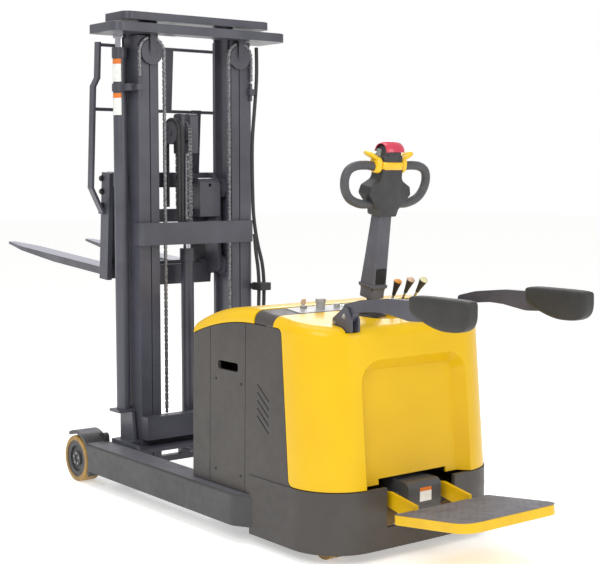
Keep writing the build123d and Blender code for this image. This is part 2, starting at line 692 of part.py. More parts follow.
def carriage():
    """Side plates with rollers in the inner rails, and the bars across the front."""
    plate = across(corners([(-205, 945), (-118, 945), (-112, 890), (-92, 890), (-92, 1405), (-150, 1405),
                            (-205, 1350)],
                           [12, 0, 0, 0, 0, 0, 30]), 162, 180)
    group = both(plate)
    mid_x = (inner_x0 + inner_x1) / 2
    for z in (975, 1335):
        group += both(bar(inner_x1 - inner_x0 - 2 * inner_flange - 3, (mid_x, 184, z),
                          (mid_x, inner_y1 - 15, z)))
        group += both(bar(34, (mid_x, 180, z), (mid_x, 184, z)))
    for z0, z1 in ((890, 983), (1180, 1240), (1345, 1405)):
        group += block(-110, -92, -330 if z0 == 1345 else -180, 330 if z0 == 1345 else 180, z0, z1)
    group += tilt_housing()
    lug = across(corners([(-92, 940), (fork_hinge_x, 955), (fork_hinge_x + 24, 985), (fork_hinge_x, 1015),
                          (-92, 1040)],
                         [0, 14, 10, 14, 0]), 100, 118)
    group += both(lug)
    group += bar(28, (fork_hinge_x, -150, fork_hinge_z), (fork_hinge_x, 150, fork_hinge_z))
    return group


def tilt_housing():
    """Upright housing behind the carriage, over the tilt cylinder."""
    side = across(corners([(-222, 1205), (-112, 1205), (-112, 1383), (-222, 1383)], [0, 0, 0, 30]), -162,
                  -52)
    return side - bar(16, (-230, -108, 1350), (-200, -108, 1350))


def fork_frame():
    """Tilting frame that the two forks and the load backrest hang on."""
    group = Part()
    for z0, z1 in ((915, 985), (1335, 1405)):
        group += block(8, 42, -330, 330, z0, z1)
    group += both(block(-30, 42, 306, 330, 915, 1405))
    group += both(across(corners([(fork_hinge_x - 20, 965), (8, 920), (8, 1100), (fork_hinge_x - 20, 1005)],
                                 [12, 0, 0, 12]), 122, 146))
    group -= bar(29, (fork_hinge_x, -160, fork_hinge_z), (fork_hinge_x, 160, fork_hinge_z))
    return group


def fork():
    """Forged fork: the shank hangs on the frame, and the blade thins towards its tip."""
    x0, z0 = heel_x - 35, heel_z - fork_t
    tip_x = heel_x + fork_len
    face = corners([(x0, z0), (heel_x + 520, z0), (tip_x, heel_z - 12), (tip_x, heel_z), (heel_x, heel_z),
                    (heel_x, 1405), (x0, 1405)], [30, 0, 3, 3, 12, 4, 4])
    solid = across(face, fork_half_gap - fork_w / 2, fork_half_gap + fork_w / 2)
    wedge = corners([(tip_x - 230, fork_half_gap - fork_w / 2 - 1),
                     (tip_x + 1, fork_half_gap - fork_w / 2 - 1),
                     (tip_x + 1, fork_half_gap - 16)], [0, 0, 0])
    other = corners([(tip_x - 230, fork_half_gap + fork_w / 2 + 1),
                     (tip_x + 1, fork_half_gap + fork_w / 2 + 1),
                     (tip_x + 1, fork_half_gap + 16)], [0, 0, 0])
    return solid - upright(wedge, 800, 1100) - upright(other, 800, 1100)


def backrest():
    """Load backrest: flat side strips bent in at the bottom, and round rods."""
    w, t = backrest_half_w, 12.0
    points = [(338, 1225), (w - 4, 1335), (w - 4, 1790), (w - 24, 1830), (w - 24, backrest_z)]
    pieces = Part()
    for (ya, za), (yb, zb) in zip(points, points[1:]):
        run = hypot(yb - ya, zb - za)
        pieces += Plane(origin=(20, ya, za), x_dir=(0, yb - ya, zb - za), z_dir=(1, 0, 0)) * Pos(run / 2, 0,
                                                                                                 0) \
            * Box(run + 8, t, 40)
    foot = block(0, 40, 330, 344, 1215, 1235)
    sides = both(pieces + foot)
    rods = bar(16, (20, -w + 24, backrest_z - 8), (20, w - 24, backrest_z - 8))
    rods += bar(16, (20, -w + 4, 1690), (20, w - 4, 1690))
    posts = both(block(-2, 14, 128, 172, 1405, 1700))
    mid = block(12, 28, -17, 17, 1690, backrest_z - 8)
    return sides + rods + posts + mid


# ---------------------------------------------------------------- drive, tiller, casters

def drive_unit():
    """Turntable, fork and gearbox that hold the drive wheel under the tiller."""
    table = bar(286, (steer_x, 0, floor_z - 2), (steer_x, 0, floor_z + 30))
    side = both(block(steer_x - 50, steer_x + 50, drive_wheel_w / 2 + 8, drive_wheel_w / 2 + 26, 96,
                      floor_z + 10))
    gap = bar(drive_wheel_d + 16, (steer_x, -drive_wheel_w / 2 - 8, drive_wheel_d / 2),
              (steer_x, drive_wheel_w / 2 + 8, drive_wheel_d / 2))
    motor = bar(170, (steer_x, 0, floor_z + 30), (steer_x, 0, 470))
    column = bar(60, (steer_x, 0, 470), (steer_x, 0, bowl_floor_z + 8))
    axle = bar(30, (steer_x, -drive_wheel_w / 2 - 20, drive_wheel_d / 2),
               (steer_x, drive_wheel_w / 2 + 20, drive_wheel_d / 2))
    return table + motor + column + side - gap + axle


def drive_wheel():
    y = drive_wheel_w / 2
    z = drive_wheel_d / 2
    wheel = bar(drive_wheel_d, (steer_x, -y, z), (steer_x, y, z))
    wheel = fillet(wheel.edges().filter_by(GeomType.CIRCLE), 8)
    wheel -= bar(140, (steer_x, y - 12, z), (steer_x, y + 1, z)) - bar(60, (steer_x, y - 12, z),
                                                                       (steer_x, y + 1, z))
    wheel -= bar(140, (steer_x, -y - 1, z), (steer_x, -y + 12, z)) - bar(60, (steer_x, -y - 1, z),
                                                                         (steer_x, -y + 12, z))
    return wheel - bar(30.1, (steer_x, -y - 1, z), (steer_x, y + 1, z))


def tiller_base():
    """Turning foot of the tiller, with the two ears that hold its tilt pin."""
    foot = bar(150, (steer_x, 0, bowl_floor_z + 8), (steer_x, 0, bowl_floor_z + 34))
    foot = fillet(foot.edges().group_by(Axis.Z)[-1], 8)
    ear = across(corners([(steer_x - 55, bowl_floor_z + 30), (steer_x + 45, bowl_floor_z + 30),
                          (tilt_x + 30, tilt_z + 26), (tilt_x - 30, tilt_z + 26)], [0, 0, 26, 26]), 38, 50)
    pin = bar(20, (tilt_x, -50, tilt_z), (tilt_x, 50, tilt_z))
    return foot + both(ear) + pin


def tiller_neck():
    """Neck of the tiller, drawn upright and leaned back about its pin."""
    side = corners([(tilt_x - 32, tilt_z - 24), (tilt_x + 32, tilt_z - 24), (tilt_x + 40, tilt_z + 110),
                    (tilt_x + 26, tilt_z + head_foot), (tilt_x - 26, tilt_z + head_foot),
                    (tilt_x - 36, tilt_z + 110)],
                   [20, 20, 30, 4, 4, 30])
    solid = across(side, -32, 32)
    solid -= bar(20.2, (tilt_x, -40, tilt_z), (tilt_x, 40, tilt_z))
    return turned(solid, tilt_x, tilt_z, -tiller_lean)


def tiller_head():
    """Head that the grips join: narrow foot, ears at mid height, and straight cheeks above them."""
    z = tilt_z + head_foot
    front = corners([(-38, z), (38, z), (100, z + 92), (94, z + 114), (47, z + 128), (46, z + 208),
                     (-46, z + 208),
                     (-47, z + 128), (-94, z + 114), (-100, z + 92)], [6, 6, 6, 6, 16, 10, 10, 16, 6, 6])
    plane = Plane(origin=(tilt_x + 32, 0, 0), x_dir=(0, -1, 0), z_dir=(-1, 0, 0))
    solid = extrude(plane * front, 66)
    return turned(solid, tilt_x, tilt_z, -tiller_lean)


def tiller_grips():
    """Closed loop handle on each side of the head."""
    z = tilt_z + head_foot
    path = FilletPolyline((0, 30, z + 52), (0, 104, z + 46), (0, 178, z + 74), (0, 204, z + 132),
                          (0, 176, z + 180),
                          (0, 100, z + 192), (0, 36, z + 178), radius=[36, 36, 36, 36, 36])
    path = Pos(tilt_x, 0, 0) * path
    loop = sweep(Plane(origin=path @ 0, z_dir=path % 0) * Circle(grip_d / 2), path=path)
    return turned(both(loop), tilt_x, tilt_z, -tiller_lean) - tiller_head()


def belly_button():
    z = tilt_z + head_foot + 208
    solid = block(tilt_x - 32, tilt_x + 30, -44, 44, z, z + 74)
    solid = fillet(solid.edges().group_by(Axis.Z)[-1], 16)
    return turned(solid, tilt_x, tilt_z, -tiller_lean)


def thumb_wings():
    z = tilt_z + head_foot + 188
    wing = block(tilt_x - 52, tilt_x - 34, 10, 96, z - 6, z + 12)
    wing = fillet(wing.edges().filter_by(Axis.X), 6)
    hub = block(tilt_x - 46, tilt_x - 34, -20, 20, z - 8, z + 16)
    return turned(both(wing) + hub, tilt_x, tilt_z, -tiller_lean)


def caster_fork():
    z = caster_d / 2
    top = bar(110, (caster_x, caster_y, floor_z - 12), (caster_x, caster_y, floor_z - 1))
    neck = bar(44, (caster_x, caster_y, floor_z - 34), (caster_x, caster_y, floor_z - 12))
    side = across(corners([(caster_x + 26, 138), (caster_x - 26, 138),
                           (caster_x - caster_trail - 14, z - 12),
                           (caster_x - caster_trail + 14, z - 12)], [0, 0, 12, 12]), -5.5, 5.5)
    axle = bar(16, (caster_x - caster_trail, -40, z), (caster_x - caster_trail, 40, z))
    return top + neck + Pos(0, caster_y, 0) * (side + axle)


def caster_wheel():
    z, x = caster_d / 2, caster_x - caster_trail
    group = Part()
    for side in (-1, 1):
        y0 = caster_y + side * (caster_gap / 2 + 2)
        y1 = y0 + side * caster_tread
        group += fillet(bar(caster_d, (x, y0, z), (x, y1, z)).edges().filter_by(GeomType.CIRCLE), 5) \
            - bar(16.1, (x, y0 - side, z), (x, y1 + side, z))
    return group


# ---------------------------------------------------------------- platform and side guards

def step_frame():
    """Folding platform: tray with two arms to the hinge, drawn level and raised at rest."""
    x0, x1 = step_x0, step_x1
    plan = corners([(x0, -step_half_w), (x1, -step_half_w), (x1, step_half_w), (x0, step_half_w)],
                   [14, 70, 70, 14])
    z1 = step_hinge_z - 38
    tray = upright(plan, z1 - step_t, z1)
    inset = corners([(x0 - 14, -step_half_w + 14), (x1 + 14, -step_half_w + 14),
                     (x1 + 14, step_half_w - 14),
                     (x0 - 14, step_half_w - 14)], [6, 58, 58, 6])
    tray -= upright(inset, z1 - 6, z1 + 1)
    tray = fillet(tray.edges().group_by(Axis.Z)[0], 3)
    arm = across(corners([(step_hinge_x + 24, step_hinge_z - 24), (step_hinge_x + 24, step_hinge_z + 20),
                          (step_hinge_x - 24, step_hinge_z + 20), (x0 - 60, z1 + 4), (x0 - 60, z1 - step_t),
                          (x0 + 20, z1 - step_t)], [22, 22, 16, 0, 0, 20]), 126, 142)
    arm -= upright(inset, z1 - 6, z1 + 100)
    frame = tray + both(arm) - bar(24.2, (step_hinge_x, -200, step_hinge_z),
                                   (step_hinge_x, 200, step_hinge_z))
    return turned(frame, step_hinge_x, step_hinge_z, step_rise)


def step_mat():
    z1 = step_hinge_z - 38
    plan = corners([(step_x0 - 15, -step_half_w + 15), (step_x1 + 15, -step_half_w + 15),
                    (step_x1 + 15, step_half_w - 15), (step_x0 - 15, step_half_w - 15)], [5, 57, 57, 5])
    return turned(upright(plan, z1 - 6, z1), step_hinge_x, step_hinge_z, step_rise)


def guard_arm():
    """Flat bar of a side guard, from its pivot in the cover back to the pad."""
    x, z = guard_pivot_x, guard_pivot_z
    face = corners([(x + 20, z - 20), (x + 20, z + 41), (x - 75, z + 64), (x - 218, z + 80),
                    (pad_x0 - 120, z + 84),
                    (pad_x0 - 120, z + 18), (pad_x0 - 10, z + 11), (x - 219, z + 26), (x - 151, z + 28),
                    (x - 40, z + 16), (x - 20, z - 20)], [20, 16, 150, 150, 6, 6, 150, 150, 150, 12, 18])
    solid = across(face, guard_y - 11, guard_y + 11)
    return solid - bar(18.2, (x, guard_y - 30, z), (x, guard_y + 30, z))


def guard_pad():
    """Padded rest on a side guard, straight above and full below."""
    z = guard_pivot_z
    face = corners([(pad_x0, z + 6), (pad_x0, z + 90), (pad_x1, z + 107), (pad_x1, z + 29),
                    (pad_x1 + 115, z - 16),
                    (pad_x0 - 78, z - 17)], [14, 16, 30, 40, 60, 60])
    solid = across(face, guard_y - pad_half_w, guard_y + pad_half_w)
    solid = fillet(solid.edges().filter_by(lambda e: abs(abs(e.center().Y - guard_y) - pad_half_w) < 0.1),
                   14)
    return solid - guard_arm()


# ---------------------------------------------------------------- all pieces

tyre, hub = load_wheel()
pieces = {
    "left_leg": guarded_leg(),
    "right_leg": mirror(guarded_leg(), about=Plane.XZ),
    "base_frame": base_frame(),
    "front_bulkhead": front_bulkhead(),
    "battery": battery(),
    "reach_cylinder": reach_cylinder(),
    "rear_skirt": rear_skirt(),
    "side_panels": side_panels(),
    "rear_cover": rear_cover(),
    "console_band": console_band(),
    "console_panel": console_panel(),
    "step_box": step_box(),
    "guard_brackets": guard_brackets(),
    "control_levers": control_levers(),
    "battery_hood": battery_hood(),
    "outer_rails": outer_rails(),
    "mast_base": mast_base(),
    "mid_strap": mid_strap(),
    "mast_hoses": mast_hoses(),
    "lift_cylinders": lift_cylinders(),
    "middle_rails": middle_rails(),
    "lower_head": lower_head(),
    "lift_rods": lift_rods(),
    "chain_sheaves": chain_sheaves(),
    "lift_chains": lift_chains(),
    "inner_rails": inner_rails(),
    "upper_head": upper_head(),
    "free_lift_cylinder": free_cylinder(),
    "free_lift_rod": free_rod(),
    "free_lift_head": free_head(),
    "free_lift_chain": free_chain(),
    "free_lift_hoses": free_lift_hoses(),
    "fork_carriage": carriage(),
    "drive_unit": drive_unit(),
    "drive_wheel": drive_wheel(),
    "tiller_base": tiller_base(),
    "tiller_neck": tiller_neck(),
    "tiller_head": tiller_head(),
    "tiller_grips": tiller_grips(),
    "belly_button": belly_button(),
    "thumb_wings": thumb_wings(),
    "platform_frame": step_frame(),
    "platform_mat": step_mat(),
}
for side, flip in (("left", False), ("right", True)):
    for name, piece in (("load_tyre", tyre), ("load_hub", hub), ("caster_fork", caster_fork()),
                        ("caster_wheel", caster_wheel()), ("guard_arm", guard_arm()),
                        ("guard_pad", guard_pad())):
        pieces[side + "_" + name] = mirror(piece, about=Plane.XZ) if flip else piece
forks = {"fork_frame": fork_frame(), "left_fork": fork(), "right_fork": mirror(fork(), about=Plane.XZ),
         "load_backrest": backrest()}
for name, piece in forks.items():
    pieces[name] = turned(piece, fork_hinge_x, fork_hinge_z, -fork_tilt)

boxes = [piece.bounding_box() for piece in pieces.values()]
front = max(box.max.X for box in boxes)
rear = min(box.min.X for box in boxes)
shift = -(front + rear) / 2

if __name__ == "__main__":
    os.makedirs("parts", exist_ok=True)
    for name, piece in pieces.items():
        export_step(Pos(shift, 0, 0) * piece, f"parts/{name}.step")
    print("pieces", len(pieces), "shift", round(shift, 3))
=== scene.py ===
import json
import math
import bmesh
import bpy
import numpy as np
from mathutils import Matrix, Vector


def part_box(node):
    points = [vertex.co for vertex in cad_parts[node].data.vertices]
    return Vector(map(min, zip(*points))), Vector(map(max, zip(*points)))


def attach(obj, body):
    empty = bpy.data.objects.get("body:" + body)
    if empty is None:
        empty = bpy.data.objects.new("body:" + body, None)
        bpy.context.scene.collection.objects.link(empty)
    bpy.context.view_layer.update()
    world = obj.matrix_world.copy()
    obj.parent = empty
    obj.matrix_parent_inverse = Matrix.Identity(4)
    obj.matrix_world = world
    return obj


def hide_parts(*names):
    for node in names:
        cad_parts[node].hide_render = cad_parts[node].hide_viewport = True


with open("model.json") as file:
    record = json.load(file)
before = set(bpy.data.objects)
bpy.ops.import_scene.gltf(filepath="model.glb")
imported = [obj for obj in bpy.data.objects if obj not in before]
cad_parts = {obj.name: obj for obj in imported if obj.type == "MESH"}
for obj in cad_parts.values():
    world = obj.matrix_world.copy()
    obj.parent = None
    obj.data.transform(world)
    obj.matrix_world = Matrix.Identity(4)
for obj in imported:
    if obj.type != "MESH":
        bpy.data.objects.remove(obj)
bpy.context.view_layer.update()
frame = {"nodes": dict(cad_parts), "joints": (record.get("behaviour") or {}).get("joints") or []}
nodes = frame["nodes"]
joints = {joint["name"]: joint for joint in frame["joints"]}
mm = 0.001

# ---- camera, floor and light

camera = {"place": (-4.689, 3.261, 1.412), "heading": -37.71, "pitch": -4.85, "lens": 77.96, "sensor": 36.0}
studio = {
    "floor": "#F4F4F2", "floorSize": 60.0, "floorGlow": 0.42, "floorRough": 0.7, "floorSpecular": 0.15,
    "world": "#FFFFFF", "worldStrength": 0.62, "backdropStrength": 1.0,
    # name: (place, aim, width, height, watts), in metres
    "areas": {
        "keyLight": ((-3.6, 4.6, 4.6), (-0.4, 0.0, 0.9), 3.2, 3.2, 165),
        "rearFill": ((-6.0, -1.5, 2.6), (-0.9, 0.0, 0.8), 3.0, 2.4, 60),
        "topLight": ((0.0, 0.4, 5.2), (0.0, 0.0, 1.0), 4.0, 2.4, 85),
        "rimLight": ((3.4, -3.2, 3.6), (0.2, 0.0, 1.1), 2.6, 2.6, 70),
    },
}


def linear(hexCode, alpha=1.0):  # sRGB hex to linear: (c / 12.92) low down, ((c + 0.055) / 1.055) ^ 2.4 above
    channels = [int(hexCode[i:i + 2], 16) / 255 for i in (1, 3, 5)]
    return tuple(c / 12.92 if c <= 0.04045 else ((c + 0.055) / 1.055) ** 2.4 for c in channels) + (alpha,)


def addNode(tree, kind, values=None, links=None, **settings):  # adds a node with its settings and links
    node = tree.nodes.new(kind)
    for key, value in settings.items():
        setattr(node, key, value)
    for key, value in (values or {}).items():
        node.inputs[key].default_value = value
    for key, socket in (links or {}).items():
        tree.links.new(socket, node.inputs[key])
    return node


def aimed(thing, place, direction):  # puts a lamp or camera in place, looking along the direction
    thing.location = place
    thing.rotation_mode = "QUATERNION"
    thing.rotation_quaternion = Vector(direction).to_track_quat("-Z", "Y")
    bpy.context.scene.collection.objects.link(thing)


def buildStudio():
    heading, pitch = math.radians(camera["heading"]), math.radians(camera["pitch"])
    data = bpy.data.cameras.new("studioCamera")
    data.lens, data.sensor_width = camera["lens"], camera["sensor"]
    lens = bpy.data.objects.new("studioCamera", data)
    flat = math.cos(pitch)
    aimed(lens, camera["place"], (flat * math.cos(heading), flat * math.sin(heading), math.sin(pitch)))
    bpy.context.scene.camera = lens
    for name, (place, aim, width, height, watts) in studio["areas"].items():
        data = bpy.data.lights.new(name, "AREA")
        data.shape, data.size, data.size_y, data.energy = "RECTANGLE", width, height, watts
        aimed(bpy.data.objects.new(name, data), place, Vector(aim) - Vector(place))
    world = bpy.data.worlds.new("studioWorld")
    world.use_nodes = True
    tree = world.node_tree
    # the eye sees a white backdrop while the subject is lit by a dimmer one
    sight = addNode(tree, "ShaderNodeLightPath")
    level = addNode(tree, "ShaderNodeMapRange",
                    {"To Min": studio["worldStrength"], "To Max": studio["backdropStrength"]},
                    {"Value": sight.outputs["Is Camera Ray"]})
    background = tree.nodes["Background"]
    background.inputs["Color"].default_value = linear(studio["world"])
    tree.links.new(level.outputs["Result"], background.inputs["Strength"])
    bpy.context.scene.world = world
    half = studio["floorSize"] / 2
    mesh = bpy.data.meshes.new("floor")
    mesh.from_pydata([(-half, -half, 0), (half, -half, 0), (half, half, 0), (-half, half, 0)], [], [(0, 1, 2, 3)])
    floor = bpy.data.objects.new("floor", mesh)
    paint = bpy.data.materials.new("paleFloorPaint")
    paint.use_nodes = True
    shader = paint.node_tree.nodes["Principled BSDF"]
    painted = {"Base Color": linear(studio["floor"]), "Roughness": studio["floorRough"],
               "Specular IOR Level": studio["floorSpecular"], "Emission Color": (1, 1, 1, 1),
               "Emission Strength": studio["floorGlow"]}
    for socket, value in painted.items():
        shader.inputs[socket].default_value = value
    mesh.materials.append(paint)
    bpy.context.scene.collection.objects.link(floor)


buildStudio()
bpy.context.scene.view_settings.view_transform = "Standard"
print("studio ready")

# ---- finishes: colours are sRGB, sizes in millimetres
# tone: second colour that the first drifts to; patch: size of that drift; grain, depth: bump; edge: rounding and
# wear; top: painted highlight, the paler colour of faces that look up; dust: floor dust; rough: lowest and highest
# roughness

finishes = {
    # rolled and welded steel, sprayed satin enamel: orange peel, edges rubbed paler
    "mastEnamel": dict(base="#4E4E58", tone="#3F3F48", patch=260, rough=(0.3, 0.42), grain=1.6, depth=0.05,
                       edge=1.6, wear="#7C7C86", wearAmount=0.5, coat=0.15),
    # same enamel on the thick leg plate, duller from floor dust; its faces that look up get a painted highlight
    "legEnamel": dict(base="#403E3F", tone="#353435", patch=200, rough=(0.4, 0.55), grain=1.8, depth=0.06,
                      edge=2.0, wear="#8A898E", wearAmount=0.7, coat=0.1, top="#66666C"),
    # forged fork steel, thin enamel; its faces that look up get a painted highlight
    "forkEnamel": dict(base="#5E5E66", tone="#4C4C52", patch=120, rough=(0.3, 0.5), grain=2.2, depth=0.08,
                       edge=1.8, wear="#9A9AA2", wearAmount=0.7, top="#A9A9B4"),
    # vacuum formed ABS cover, glossy yellow with a soft orange peel
    "yellowGloss": dict(base="#E4B800", tone="#DEB004", patch=420, rough=(0.3, 0.38), grain=3.5, depth=0.012,
                        coat=0.12, specular=0.3),
    # powder coated plate on the platform, yellow, a little rougher
    "yellowPowder": dict(base="#E4B800", tone="#D9AC08", patch=140, rough=(0.34, 0.46), grain=1.4, depth=0.08,
                         edge=1.2, wear="#C9A24A", wearAmount=0.35),
    # textured powder coat on the side panels
    "panelPowder": dict(base="#46423F", tone="#3F3B39", patch=320, rough=(0.44, 0.56), grain=1.1, depth=0.09,
                        edge=1.2, wear="#6E6A68", wearAmount=0.3),
    # cast polyurethane tyre: amber, waxy, slightly clear
    "castPolyurethane": dict(base="#A9812F", tone="#8C6A26", patch=40, rough=(0.34, 0.5), grain=2.4, depth=0.12,
                             specular=0.45, dust="#8A7A5C"),
    # grey iron casting, painted
    "castIron": dict(base="#4A4A4D", tone="#3A3A3C", patch=30, rough=(0.45, 0.62), grain=1.5, depth=0.22,
                     edge=1.0, wear="#6B6B6F", wearAmount=0.5),
    # extruded nitrile hose cover: matt black with a faint bloom
    "hoseRubber": dict(base="#2E2E31", tone="#262628", patch=25, rough=(0.5, 0.62), grain=0.9, depth=0.07,
                       sheen=0.15),
    # hard moulded rubber grips and boots: dull, with a fine sandy skin
    "gripRubber": dict(base="#4A4A4E", tone="#424246", patch=40, rough=(0.48, 0.58), grain=0.8, depth=0.08,
                       sheen=0.2),
    # hard chrome on a ground rod: a clear mirror of the room
    "hardChrome": dict(base="#C9C9CE", tone="#B9B9C0", patch=60, rough=(0.08, 0.16), metallic=1.0),
    # rolled chain plate, oiled: dark between the plates, bright on their edges
    "chainSteel": dict(base="#96969A", tone="#5A595A", patch=9, rough=(0.28, 0.5), metallic=0.85, grain=0.8,
                       depth=0.06,
                       edge=0.5, wear="#B4B4BA", wearAmount=0.6),
    # zinc plated fasteners: pale, with a soft metallic shine
    "zincPlate": dict(base="#B5B4AE", tone="#9C9B98", patch=5, rough=(0.25, 0.42), metallic=1.0, grain=0.5,
                      depth=0.02),
    # black oxide fasteners and pins: near black, bright only on corners
    "blackOxide": dict(base="#3B3B3E", tone="#2F2F31", patch=8, rough=(0.35, 0.5), metallic=0.6, grain=0.6,
                       depth=0.03,
                       edge=0.6, wear="#85858A", wearAmount=0.5),
    # polyurethane foam with a moulded skin: fine leather grain
    "foamSkin": dict(base="#2E2D2C", tone="#272625", patch=90, rough=(0.5, 0.62), grain=2.2, depth=0.18, leather=True,
                     sheen=0.12),
    # textured moulded ABS: fine spark texture, soft shine
    "blackPlastic": dict(base="#353436", tone="#2E2D2F", patch=70, rough=(0.42, 0.54), grain=0.9, depth=0.07,
                         edge=0.8, wear="#515053", wearAmount=0.3),
    # glass filled nylon on the tiller's neck: paler than the ABS beside it
    "greyPlastic": dict(base="#56565E", tone="#4D4D55", patch=80, rough=(0.4, 0.5), grain=0.9, depth=0.06),
    # sprayed lacquer on the console strip: even, pale, half gloss
    "consoleLacquer": dict(base="#A9A7A6", tone="#9C9A9A", patch=90, rough=(0.34, 0.44), grain=1.2, depth=0.04),
    # moulded dark box at the hinge: waxy, a shade lighter than the panels
    "boxPlastic": dict(base="#4B4B4D", tone="#434345", patch=90, rough=(0.4, 0.52), grain=1.0, depth=0.08,
                       edge=1.0, wear="#606063", wearAmount=0.3),
    # polished ABS caps: deep colour under a clear shine
    "redGloss": dict(base="#C93A50", tone="#BE3048", patch=40, rough=(0.2, 0.28), coat=0.4, grain=2.0, depth=0.02),
    "yellowCap": dict(base="#F2C112", tone="#E8B414", patch=30, rough=(0.26, 0.34), coat=0.25, grain=1.5, depth=0.03),
    "orangeKnob": dict(base="#EFA23E", tone="#E2953A", patch=14, rough=(0.25, 0.33), coat=0.3, grain=1.2, depth=0.02),
    "beigeKnob": dict(base="#D8B79C", tone="#CBA98E", patch=14, rough=(0.25, 0.33), coat=0.3, grain=1.2, depth=0.02),
    "paleKnob": dict(base="#D9D3A8", tone="#CCC59A", patch=14, rough=(0.25, 0.33), coat=0.3, grain=1.2, depth=0.02),
    # glass over an unlit screen: grey and sharp
    "displayGlass": dict(base="#7F8A8C", tone="#6E797B", patch=12, rough=(0.08, 0.12), coat=0.6),
    # vinyl film, left blank: flat colour, half gloss
    "labelWhite": dict(base="#E9E9E6", tone="#DEDEDA", patch=20, rough=(0.35, 0.42), coat=0.1),
    "labelOrange": dict(base="#E07A28", tone="#D66F22", patch=20, rough=(0.35, 0.42), coat=0.1),
    # moulded rubber tread: grey, its raised edges polished paler by shoes
    "treadRubber": dict(base="#707078", tone="#606068", patch=60, rough=(0.46, 0.6), grain=1.0, depth=0.1,
                        edge=0.6, wear="#B4B4BC", wearAmount=0.7),
    # painted shade: a dark sheet standing in for the shaded opening in the tiller's neck and the wires inside it, no
    # shine
    "neckOpeningShade": dict(base="#17171A", tone="#111113", patch=40, rough=(0.7, 0.85), grain=2.0, depth=0.05),
}


# what every finish shares: noise levels that start and end each drift, sizes in millimetres, dust height in metres
finishRules = {
    "driftSpan": (0.38, 0.66), "scuffSize": 14.0, "edgeSpan": (0.985, 0.8), "topHighlightSpan": (0.9, 0.99),
    "dustTop": 0.25, "dustAmount": 0.35, "fineSize": 35.0, "roughSpan": (0.3, 0.7), "coatRough": 0.12,
    "sheenRough": 0.4, "ior": 1.5,
}


def span(key):  # a start and an end as Map Range values
    return dict(zip(("From Min", "From Max"), finishRules[key]))


